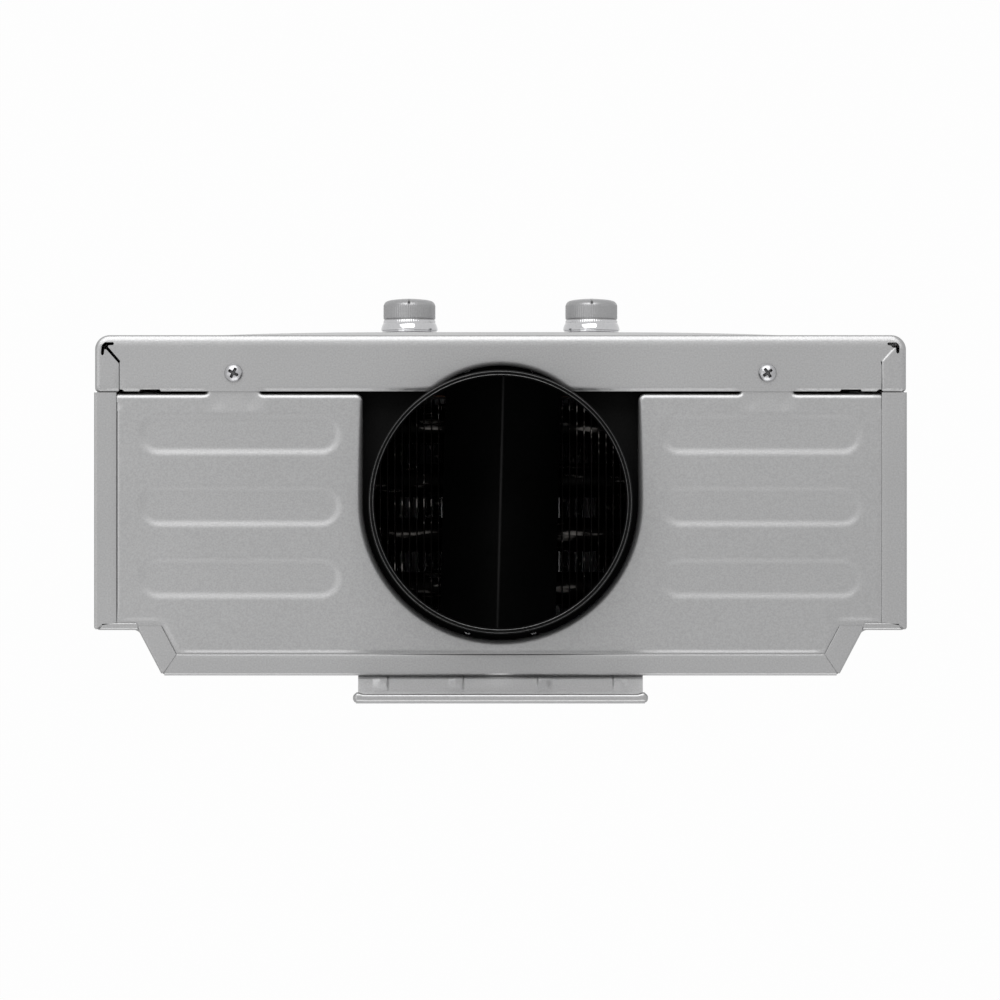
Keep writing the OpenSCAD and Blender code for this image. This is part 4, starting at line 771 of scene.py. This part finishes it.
BEND = 1.1
WALL_LAP = 3.0
MITRE_GAP = 0.16
MITRE_START = 0.9
MITRE_TIP = (0.45, 2.4)
SLANT_CUT = (0.05, 1.36)
SLANT_PAST = 1.7
CASING_ROUND = 2.5
LOUVRE_Y = (-92.0, -48.0)
LOUVRE_Z = 186.0
LOUVRE_H = 4.0
LOUVRES = 6
BLADE_TOP = 4.2
BLADE_DEPTH = 3.0
BLADE_DROP = 5.0
COVER_LIP = [(0.4, 5.0), (0.5, 0.6), (1.5, -1.0), (1.6, -12.0)]

# Cut ends of the side flange and the short one: distances inward, and how far the cut is from the corner
FLANGE_CUTS = [
    ([0.0, 0.4, 0.9, 1.2, 2.9, 10.0], [1.3, 0.55, 0.25, 0.55, 2.0, 3.2]),
    ([0.0, 1.5, 3.0], [2.2, 3.3, 3.5]),
    ([0.0, 1.7, 3.0], [0.12, 0.2, 0.9]),
]


def flange_run(skin, start, end, width, level, first, last, mirror):
    """A bent-over flange along one wall; first and last give its cut ends at each distance inward."""
    a, b = np.array(start), np.array(end)
    length = float(np.linalg.norm(b - a))
    along = (b - a) / length
    inward = np.array((along[1], -along[0]))
    profile = [(0.0, WALL_LAP), (0.0, BEND)]
    for k in range(1, 8):
        t = math.pi / 2 * k / 7
        profile.append((BEND * (1 - math.cos(t)), BEND * (1 - math.sin(t))))
    for share in (0.08, 0.2, 0.4, 0.7):
        profile.append((BEND + (width - BEND) * share, 0.0))
    profile += [(width - 0.4, 0.0), (width - 0.22, 0.05), (width - 0.06, 0.2), (width, 0.4)]
    up = 1 if level > TOP / 2 else -1
    rows = []
    for q, depth in profile:
        s0, s1 = first(q), length - last(q)
        line = [a + inward * q + along * s for s in np.linspace(s0, s1, 24)]
        rows.append([(mirror * x, y, level - up * depth) for x, y in line])
    skin.grid(rows, (0, 0, up))


def casing_flanges(skin, level):
    """The flanges at the top or the bottom of the casing."""
    reach = np.array(inset_path(OUTLINE, FLANGES)[3]) - np.array(OUTLINE[3])
    slant = np.array(OUTLINE[3]) - np.array(OUTLINE[2])
    slant = slant / np.linalg.norm(slant)

    def mitre(along, width):
        """How far the rear corner's mitre reaches along a flange, with a gap that opens at its tip."""
        slope = float(np.dot(reach, along)) / width
        opening, fade = MITRE_TIP
        return lambda q: max(MITRE_START, slope * q + MITRE_GAP + opening * max(0.0, 1 - q / fade))

    def slant_start(q):
        """The slanted flange's front end, cut square to the front a little past its corner."""
        return max(-SLANT_CUT[0] - SLANT_CUT[1] * q, (slant[0] * q - SLANT_PAST) / slant[1])

    on_rear = mitre(np.array((1.0, 0.0)), FLANGES[3])
    on_slant = mitre(-slant, FLANGES[2])
    side_end, short_start, short_end = (lambda q, cut=cut: np.interp(q, *cut) for cut in FLANGE_CUTS)
    for mirror in (1, -1):
        wide = FLANGES[0] if mirror == 1 else FLANGES[6]
        flange_run(skin, OUTLINE[0], OUTLINE[1], wide, level, lambda q: 0.0, side_end, mirror)
        flange_run(skin, OUTLINE[1], OUTLINE[2], FLANGES[1], level, short_start, short_end, mirror)
        flange_run(skin, OUTLINE[2], OUTLINE[3], FLANGES[2], level, slant_start, on_slant, mirror)
    flange_run(skin, OUTLINE[3], OUTLINE[4], FLANGES[3], level, on_rear, on_rear, 1)


def casing_shell():
    """The folded rear casing: walls, louvres, the lip under the cover and mitred flanges."""
    skin = Skin()
    casing_flanges(skin, TOP)
    casing_flanges(skin, 0.0)
    low, high = WALL_LAP, TOP - WALL_LAP
    bends = [(x, y, CASING_ROUND) for x, y in OUTLINE]
    walls = spaced(softened(bends, 5)[1:-1], 12.0)
    rows = [[(x, y, z) for x, y in walls] for z in np.linspace(low, high, 8)]
    skin.grid(rows, (0, 1, 0))
    levels = [LOUVRE_Z + i * 2 * LOUVRE_H for i in range(LOUVRES)]
    r = LOUVRE_H / 2
    for sign in (-1, 1):
        ends = (WALL_FRONT, OUTLINE[1][1] - CASING_ROUND)
        outer = [(ends[0], low), (ends[1], low), (ends[1], high), (ends[0], high)]
        outer = spaced(outer + outer[:1], 12.0)[:-1]
        holes = []
        for z in levels:
            slot = arc((LOUVRE_Y[1] - r, z + r), r, -90, 90, 8)
            slot += arc((LOUVRE_Y[0] + r, z + r), r, 90, 270, 8)
            holes.append(slot)
        places, faces = triangles_over(outer, holes)
        skin.add([(sign * HALF_W, y, z) for y, z in places], faces, (sign, 0, 0))
        for z in levels:
            blade = []
            for t in (0.0, 0.5, 1.0):
                x = sign * (HALF_W - SHEET - BLADE_DEPTH * t)
                blade.append([(x, y, z + BLADE_TOP - BLADE_DROP * t) for y in LOUVRE_Y])
            skin.grid(blade, (sign, 0, 0))
        lip = [(sign * (HALF_W - inward), WALL_FRONT + behind) for inward, behind in COVER_LIP]
        skin.grid([[(x, y, z) for x, y in lip] for z in (low, high)], (sign, 0, 0))
    skin.build("casing_shell", "silver_coat", ["rear_casing"], thickness=SHEET)


# Hanger

HANGER_HALF = 59.7
SHELF_Z = 434.0
HANGER_T = 1.5
TAB_LOW = 412.0
PLATE_Y = 9.1
PLATE_START = 438.0
HOLE_Z = 450.0
HOLE_X = 40.0
HOLE_R = 3.0
KEY_R = 5.5
KEY_RISE = 6.0
HEM_Z = 464.0
HEM_R = 1.8
HEM_Y = 8.3
HEM_END = 60.9
HEM_POWER = 2 / 3
HEM_LAP = 1.0
HEM_TIP = [(0.0, 0.0), (0.1, 0.7), (0.4, 1.3), (0.9, 1.8), (1.6, 2.1), (2.4, 2.1), (4.2, HEM_R)]
DARTS = (-50.3, -18.7, 18.7, 50.3)
DART_HALF = 3.6
DART_RISE = 1.1
DART_STEEP = 0.72
DART_FOOT = (SHELF_Z - 6.0, SHELF_Z - 1.0)
DART_FADE = (1.5, 7.6)


def dart_rise(x):
    """Height of the pressed darts across the hanger: a slow rise from outside and a steep fall inside."""
    rise = 0.0
    for at in DARTS:
        t = (x - at) * (1 if at > 0 else -1) / DART_HALF
        rise += DART_RISE * ease(-t, -1.0, 0.0) * ease(t, -1.0, -DART_STEEP)
    return rise


def squared(share):
    """A share of a circle's radius, pushed out so that the section is a flattened roll."""
    return math.copysign(abs(share) ** HEM_POWER, share)


def hanger_sheet():
    """The bent hanger with pressed darts across its shelf, a keyhole and two screw holes."""
    skin = Skin()
    xs = np.linspace(-HANGER_HALF, HANGER_HALF, 320)
    bends = [(0.0, TAB_LOW, 0), (0.0, SHELF_Z, 2.3), (PLATE_Y, SHELF_Z, 1.7), (PLATE_Y, PLATE_START, 0)]
    dart = [dart_rise(x) for x in xs]
    rows = []
    for y, z in spaced(softened(bends, 8), 0.8):
        reach = ease(z, *DART_FOOT) * (1 - ease(y, *DART_FADE))
        rows.append([(x, y, z + d * reach) for x, d in zip(xs, dart)])
    skin.grid(rows, (0, -1, 1))
    outer = [(x, PLATE_START) for x in xs] + [(x, HEM_Z - HEM_LAP) for x in reversed(xs)]
    neck = math.degrees(math.acos(HOLE_R / KEY_R))
    keyhole = arc((0.0, HOLE_Z - KEY_RISE), KEY_R, 180 - neck, 360 + neck, 24)
    keyhole += arc((0.0, HOLE_Z + KEY_RISE), HOLE_R, 0, 180, 12)
    holes = [keyhole] + [arc((x, HOLE_Z), HOLE_R, 0, 345, 23) for x in (-HOLE_X, HOLE_X)]
    places, faces = triangles_over(outer, holes)
    skin.add([(x, PLATE_Y, z) for x, z in places], faces, (0, -1, 0))
    # The hanger sheet takes the lighter silver that paints light into its shaded shelf
    skin.build("hanger_sheet", "silver_coat", ["hanger_bracket"], [HANGER_COAT_PAINTED_LIGHT], thickness=HANGER_T)


def hanger_hem():
    """The curled upper edge of the hanger, flattened, and thicker near its round ends."""
    stations = [(along - HEM_END, r) for along, r in HEM_TIP]
    stations = stations + [(0.0, HEM_R)] + [(-x, r) for x, r in reversed(stations)]
    angles = np.linspace(0, 2 * math.pi, 32, endpoint=False)
    rows = []
    for x, r in stations:
        middle = HEM_Y - max(0.0, r - HEM_R)
        line = [(middle + r * squared(math.cos(a)), HEM_Z + r * squared(math.sin(a))) for a in angles]
        rows.append([(x, y, z) for y, z in line])
    skin = Skin()
    skin.grid(rows, closed=True)
    skin.build("hanger_hem", "silver_coat", solid=True)


# Flue collar, whose profile is pairs of radius and height

COLLAR_R = 54.0
COLLAR_BORE = 53.0
FOOT_R = 57.0
FOOT_Z = 426.0
BEAD_Z = 444.0
BEAD_SIZE = (1.2, 1.3)
RIM_Z = 466.8
EDGE_AT = (53.8, 467.3)
EDGE_SIZE = (0.2, 0.6)
LIP_AT = (52.6, 467.1)
LIP_SIZE = (0.2, 0.4)


def oval(centre, size, start, end, count):
    """Points on a flattened arc between two angles in radians."""
    angles = np.linspace(start, end, count)
    return [(centre[0] + size[0] * math.cos(t), centre[1] + size[1] * math.sin(t)) for t in angles]


def collar_ring():
    """The spigot for the flue pipe, with a stop bead and a folded rim whose two thin edges take a bright
    metal finish that paints their highlight lines.
    """
    foot = [(FOOT_R, FOOT_Z), (FOOT_R, FOOT_Z + SHEET), (COLLAR_R + 0.6, FOOT_Z + SHEET),
            (COLLAR_R, FOOT_Z + SHEET + 0.6)]
    quarter = math.pi / 2
    bead = oval((COLLAR_R, BEAD_Z), BEAD_SIZE, 0.2 - quarter, 2.9 - quarter, 7)
    wall = foot + [(COLLAR_R, BEAD_Z - 1.4)] + bead + [(COLLAR_R, BEAD_Z + 1.6), (COLLAR_R, RIM_Z)]
    edge = oval(EDGE_AT, EDGE_SIZE, 0.0, 2.7, 6)
    groove = [(53.45, 467.0), (53.05, 466.9)]
    lip = oval(LIP_AT, LIP_SIZE, 0.3, 2.9, 7)
    bore = [(52.15, 466.0), (52.9, 464.8), (COLLAR_BORE, 464.0), (COLLAR_BORE, FOOT_Z), foot[0]]
    skin = Skin()
    place = upright(0.0, FLUE_Y)
    runs = [wall + edge[:1], edge, edge[-1:] + groove, groove[-1:] + lip, lip[-1:] + bore]
    for i, run in enumerate(runs):
        skin.grid(turned(run, place, 180), closed=True, kind=i % 2)
    skin.build("collar_ring", "black_coat", ["flue_collar"], [FINISH["black_coat"], RIM_PAINTED_HIGHLIGHT], solid=True)


# Draught baffle

BAFFLE_HALF = 25.0
BAFFLE_Z = 376.0
BAFFLE_RISE = 20.0
BAFFLE_REACH = 57.0
BAFFLE_SKEW = 1.4


def baffle_sheet():
    """The ridge-shaped draught baffle, a little askew as it hangs in the hood."""
    ridge = (0.0, BAFFLE_Z + BAFFLE_RISE, 1.2)
    path = softened([(-BAFFLE_HALF, BAFFLE_Z, 0), ridge, (BAFFLE_HALF, BAFFLE_Z, 0)], 8)
    lean = math.tan(math.radians(BAFFLE_SKEW))
    rows = []
    for y in np.linspace(FLUE_Y - BAFFLE_REACH, FLUE_Y + BAFFLE_REACH, 12):
        shift = lean * (y - FLUE_Y)
        rows.append([(x + shift, y, z) for x, z in path])
    skin = Skin()
    skin.grid(rows, (0, 0, 1))
    skin.build("baffle_sheet", "black_coat", ["draught_baffle"], [BAFFLE_BLACK], thickness=SHEET)


# Knobs and their rings, whose profiles are pairs of radius and height above the panel

KNOB_R = 13.1
KNOB_BACK = 5.1
KNOB_FRONT = 32.8
KNOB_BORE = 3.1
BORE_END = KNOB_BACK + 14.0
KNOB_STEPS = 288
FLUTES = 72
FLUTE_DEPTH = 0.16
POINTER_HALF = 0.62
POINTER_START = 6.0
POINTER_DEPTH = 0.5
POINTER_BACK = KNOB_FRONT - 2.5
SKIRT = [
    (KNOB_BORE, BORE_END), (KNOB_BORE, KNOB_BACK), (13.9, KNOB_BACK), (14.85, KNOB_BACK + 0.9),
    (14.85, 14.6),
    (14.7, 15.2), (14.3, 15.6), (13.85, 15.9), (13.85, 16.4), (14.3, 16.8), (14.3, 17.4), (14.1, 18.3),
    (13.75, 19.4), (13.3, 20.2), (KNOB_R, 20.5), (KNOB_R, 21.6), (12.75, 21.9),
]
BARREL = [(12.75, 22.3), (12.95, 22.5), (KNOB_R, 22.8)]
SHOULDER = [(0.12, 3.2), (0.45, 2.4), (1.1, 1.6)]
FACE = [(10.9, 1.05), (9.0, 0.65), (6.5, 0.35), (4.0, 0.13), (2.0, 0.03)]
BEZEL = [
    (4.6, -2.5), (14.0, -2.5), (14.0, 0.0), (19.0, 0.0), (19.0, 2.6), (18.7, 3.5), (18.0, 4.2), (17.0, 4.5),
    (15.6, 4.5), (15.2, 4.1), (4.6, 4.1),
]


def dial(name, body, node, x):
    """A turned knob with a chromed skirt, a fluted barrel and a pointer groove in its face."""
    profile = SKIRT + BARREL + [(KNOB_R, h) for h in np.linspace(23.4, KNOB_FRONT - 3.7, 6)]
    profile += [(KNOB_R - inward, KNOB_FRONT - back) for inward, back in SHOULDER]
    profile += [(radius, KNOB_FRONT - back) for radius, back in FACE]
    barrel = len(SKIRT) - 1
    angles = np.linspace(0, 2 * math.pi, KNOB_STEPS, endpoint=False)
    place = forward(x, KNOB_Z)
    rows, sunk = [], []
    for radius, h in profile:
        flute = FLUTE_DEPTH if radius == KNOB_R else 0.0
        line = []
        sunk.append([])
        for a in angles:
            here = radius - flute * (0.5 + 0.5 * math.cos(FLUTES * a))
            u, v = here * math.cos(a), here * math.sin(a)
            in_groove = abs(u) < POINTER_HALF and v > POINTER_START and h > POINTER_BACK
            line.append(place(u, v, h - POINTER_DEPTH if in_groove else h))
            sunk[-1].append(in_groove)
        rows.append(line)
    skin = Skin()
    skin.grid(rows[:barrel + 1], closed=True, kind=1)
    skin.grid(rows[barrel:], closed=True)
    dark = []
    for low, high in zip(sunk[barrel:], sunk[barrel + 1:]):
        dark += [2 if low[c] and low[(c + 1) % KNOB_STEPS] and high[c] else 0 for c in range(KNOB_STEPS)]
    skin.kinds[-len(dark):] = dark
    skin.fan(rows[-1], place(0, 0, KNOB_FRONT))
    skin.fan(rows[0], place(0, 0, BORE_END))
    finishes = [FINISH["knob_silver"], FINISH["bezel_chrome"], SHADE_AND_POINTER_PAINT]
    skin.build(name, "knob_silver", [node], finishes, body, solid=True)


def bezel_rings():
    """The two bright rings between the panel and the knobs."""
    skin = Skin()
    for x in (-KNOB_X, KNOB_X):
        skin.grid(turned(BEZEL + BEZEL[:1], forward(x, KNOB_Z), 128), closed=True)
    skin.build("bezel_rings", "bezel_chrome", ["knob_bezels"], solid=True)


# Cover screws

SCREW_Y = -126.5
SCREW_RADII = [*np.linspace(0.0, 3.6, 37), 3.75, 3.8, 3.8]
SCREW_FOOT = [0.5, -0.6]
DOME_R = 4.05
DOME_RISE = 2.3
DOME_BASE = 0.2
RECESS_DEPTH = 1.6
RECESS_ARM = (0.36, 0.6)
RECESS_REACH = (1.9, 2.3)
RECESS_SHADE_LIMIT = 0.35
SCREW_TURN = {-1: 55, 1: 28}


def screw_head(skin, x, up, turn):
    """A pan head whose cross recess is painted dark as shade, on the cover's upper or lower flange."""
    level = TOP if up > 0 else 0.0
    angles = np.linspace(0, 2 * math.pi, 96, endpoint=False)
    dome = [DOME_RISE * math.sqrt(1 - (r / DOME_R) ** 2) + DOME_BASE for r in SCREW_RADII[:-2]]
    rows, depths = [], []
    for r, height in zip(SCREW_RADII, dome + SCREW_FOOT):
        off_arm = r * np.minimum(np.abs(np.cos(angles + turn)), np.abs(np.sin(angles + turn)))
        sunk = (1 - ease(off_arm, *RECESS_ARM)) * (1 - ease(r, *RECESS_REACH))
        heights = level + up * (height - RECESS_DEPTH * sunk)
        rows.append(list(zip(x + r * np.cos(angles), SCREW_Y + r * np.sin(angles), heights)))
        depths.append(sunk)
    skin.grid(rows[1:], (0, 0, up), closed=True)
    # The deepest part of the cross recess, and the fan at its middle, take the painted shade
    deep = np.concatenate(depths[1:-1]) > RECESS_SHADE_LIMIT
    skin.kinds[-len(deep):] = deep.astype(int).tolist()
    skin.fan(rows[1], (x, SCREW_Y, rows[1][0][2]), (0, 0, up), 1)


def screw_heads():
    """The cover's four screws, two in each flange."""
    skin = Skin()
    for sign in (-1, 1):
        for up in (1, -1):
            screw_head(skin, sign * TAB_X, up, math.radians(SCREW_TURN[sign]))
    skin.build("screw_heads", "zinc", ["cover_screws"], [FINISH["zinc"], SHADE_AND_POINTER_PAINT], crease=50)


# Threaded stubs: x of each and the level of its upper end, and the sizes that they share

STUBS = {"cold": (60.0, 40.0), "hot": (-135.0, 34.0), "gas": (-47.0, 40.0)}
STUB_Y = -103.0
STUB_LOW = -34.0
STUB_BORE = 7.0
STUB_CHAMFER = 0.6
STUB_STEPS = 64
THREAD_R = 10.48
THREAD_PITCH = 1.814
THREAD_DEPTH = 1.0
THREAD_END = 1.0
THREAD_FADE = (STUB_LOW + 0.4, STUB_LOW + 2.0)
LEAD_R = THREAD_R - 1.1
COLLAR_OUT = 14.0
COLLAR_Z = (4.0, 9.0)


def threaded_stub(name, x, top):
    """A half-inch stub with a cut thread, a chamfered end, a shoulder and an open bore."""
    place = upright(x, STUB_Y)
    mouth = [(STUB_BORE, top), (STUB_BORE, STUB_LOW + STUB_CHAMFER), (STUB_BORE + STUB_CHAMFER, STUB_LOW),
             (THREAD_R - 1.3, STUB_LOW)]
    rows = turned(mouth, place, STUB_STEPS)
    angles = np.linspace(0, 2 * math.pi, STUB_STEPS, endpoint=False)
    for h in np.arange(STUB_LOW + 0.5, THREAD_END, THREAD_PITCH / 8):
        fade = ease(h, *THREAD_FADE)
        turn = (h / THREAD_PITCH + angles / (2 * math.pi)) % 1.0
        cut = THREAD_R - THREAD_DEPTH * np.abs(2 * turn - 1)
        radii = LEAD_R * (1 - fade) + cut * fade
        rows.append([place(r * math.cos(a), r * math.sin(a), h) for r, a in zip(radii, angles)])
    low, high = COLLAR_Z
    shoulder = [(THREAD_R, low), (COLLAR_OUT, low), (COLLAR_OUT, high), (THREAD_R, high)]
    neck = [(THREAD_R, 1.2), *shoulder, (THREAD_R, top), (STUB_BORE, top)]
    rows += turned(neck, place, STUB_STEPS)
    skin = Skin()
    skin.grid(rows, closed=True)
    skin.build("thread_" + name, "brass", [name + "_stub"], solid=True)


# Return spring of the push rod

SPRING_ENDS = (-17.85, -0.15)
SPRING_AXIS = (-112.0, 76.0)
SPRING_R = 4.0
SPRING_WIRE = 0.8
SPRING_TURNS = 7


def return_spring():
    """The round-wire spring between the gas valve and the rod's stop, built at one length on a mesh of its
    own; the real spring shortens as the rod moves.
    """
    start, end = SPRING_ENDS
    y, z = SPRING_AXIS
    half = SPRING_WIRE / 2
    steps = 24
    count = steps * SPRING_TURNS
    section = np.linspace(0, 2 * math.pi, 10, endpoint=False)
    rows = []
    for i in range(count + 1):
        a = 2 * math.pi * i / steps
        x = start + half + (end - start - SPRING_WIRE) * i / count
        line = []
        for b in section:
            r = SPRING_R + half * math.cos(b)
            line.append((x + half * math.sin(b), y + r * math.cos(a), z + r * math.sin(a)))
        rows.append(line)
    skin = Skin()
    skin.grid(rows, closed=True)
    for line in (rows[0], rows[-1]):
        skin.add(line, [tuple(range(len(section)))], None)
    piece = skin.build("return_spring", "zinc", ["rod_spring"], solid=True)
    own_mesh(piece)


top_sheet()
cover_shell()
casing_shell()
hanger_sheet()
hanger_hem()
collar_ring()
baffle_sheet()
dial("gas_dial", "gas_control", "gas_knob", -KNOB_X)
dial("water_dial", "water_control", "water_knob", KNOB_X)
bezel_rings()
screw_heads()
for stub, (stub_x, stub_top) in STUBS.items():
    threaded_stub(stub, stub_x, stub_top)
return_spring()


# CAD nodes that stay: each gets the finish of its slot, or its own: darker steel at the burner, near black
# in the flue with bright spots that paint glints, and uncoated zinc on the collar rivets, which paints
# their glints

OWN_FINISH = {
    # Painted glint: uncoated zinc on the rivets in place of their black coat, so their heads glint at the
    # collar's foot
    "collar_rivets": FINISH["zinc"],
    "burner_bars": BURNER_DARK_AND_GLINTS,
    "gas_nozzles": BURNER_DARK_AND_GLINTS,
    "burner_frame": DARK_STEEL,
    "electrode_plate": DARK_STEEL,
    "chamber_shell": darkened_within(CHAMBER_COPPER, "chamber_shell"),
    "heat_fins": FLUE_DARK_AND_GLINTS,
    "exchanger_tubes": FLUE_DARK_AND_GLINTS,
}

for entry in frame["record"]["subparts"]:
    finish = OWN_FINISH.get(entry["node"], FINISH[entry["material_slot"]])
    for place in frame["nodes"][entry["node"]].material_slots:
        place.material = finish


# Floor, light and camera

FLOOR_SHARE = 0.97
FLOOR_WHITE = (0.86, 0.86, 0.86, 1.0)
FLOOR_Z = -3.0  # far below the heater, which hangs on a wall
FLOOR_HALF = 6.0
AMBIENT = 0.42
WHITE = (1.0, 1.0, 1.0, 1.0)
AIM = Vector((0.0, -0.085, -0.02))


def floor_material():
    """A white floor that shows near white to the camera and still keeps a soft shadow."""
    made = bpy.data.materials.new("floor")
    made.use_nodes = True
    tree = made.node_tree
    tree.nodes.clear()
    rays = add_node(tree, "LightPath", {}).outputs
    mirrored = calculated(tree, "MAXIMUM", rays["Is Glossy Ray"], rays["Is Transmission Ray"])
    seen = calculated(tree, "MULTIPLY_ADD", rays["Is Camera Ray"], FLOOR_SHARE, mirrored)
    matte = add_node(tree, "BsdfDiffuse", {"Color": FLOOR_WHITE}).outputs["BSDF"]
    glow = add_node(tree, "Emission", {"Color": WHITE, "Strength": 1.0}).outputs["Emission"]
    mix = add_node(tree, "MixShader", {"Fac": seen, 1: matte, 2: glow})
    add_node(tree, "OutputMaterial", {"Surface": mix.outputs["Shader"]})
    return made


corners = [(-1, -1), (1, -1), (1, 1), (-1, 1)]
floor_mesh = bpy.data.meshes.new("floor")
floor_mesh.from_pydata([(x * FLOOR_HALF, y * FLOOR_HALF, FLOOR_Z) for x, y in corners], [], [(0, 1, 2, 3)])
floor_mesh.materials.append(floor_material())
floor = bpy.data.objects.new("floor", floor_mesh)
bpy.context.scene.collection.objects.link(floor)

world = bpy.data.worlds.new("studio")
bpy.context.scene.world = world
world.use_nodes = True
sky = world.node_tree
rays = add_node(sky, "LightPath", {}).outputs
seen = calculated(sky, "MAXIMUM", rays["Is Camera Ray"], rays["Is Glossy Ray"])
shown = calculated(sky, "MAXIMUM", seen, rays["Is Transmission Ray"])
strength = calculated(sky, "MULTIPLY_ADD", shown, 1 - AMBIENT, AMBIENT)
plug(sky, sky.nodes["Background"], {"Color": WHITE, "Strength": strength})


def softbox(name, place, wide, tall, watts):
    """A soft lamp that looks at the heater."""
    lamp = bpy.data.lights.new(name, "AREA")
    lamp.shape = "RECTANGLE"
    lamp.size = wide
    lamp.size_y = tall
    lamp.energy = watts
    made = bpy.data.objects.new(name, lamp)
    made.location = place
    made.rotation_euler = (AIM - Vector(place)).to_track_quat("-Z", "Y").to_euler()
    bpy.context.scene.collection.objects.link(made)


softbox("front_lamp", (0.3, -1.75, 1.6), 2.4, 1.8, 36)
softbox("left_lamp", (1.6, 0.0, 2.0), 1.2, 1.2, 4)
softbox("rear_lamp", (-0.1, 1.8, 1.6), 2.2, 1.4, 17)

camera = bpy.data.cameras.new("camera")
camera.sensor_width = 36.0
camera.lens = 155.0
camera.clip_end = 50.0
eye = bpy.data.objects.new("camera", camera)
eye.location = (0.0002, -0.0840, 1.79)
eye.rotation_euler = (0.0, 0.0, math.pi)
bpy.context.scene.collection.objects.link(eye)
bpy.context.scene.camera = eye

bpy.context.scene.view_settings.view_transform = "Standard"
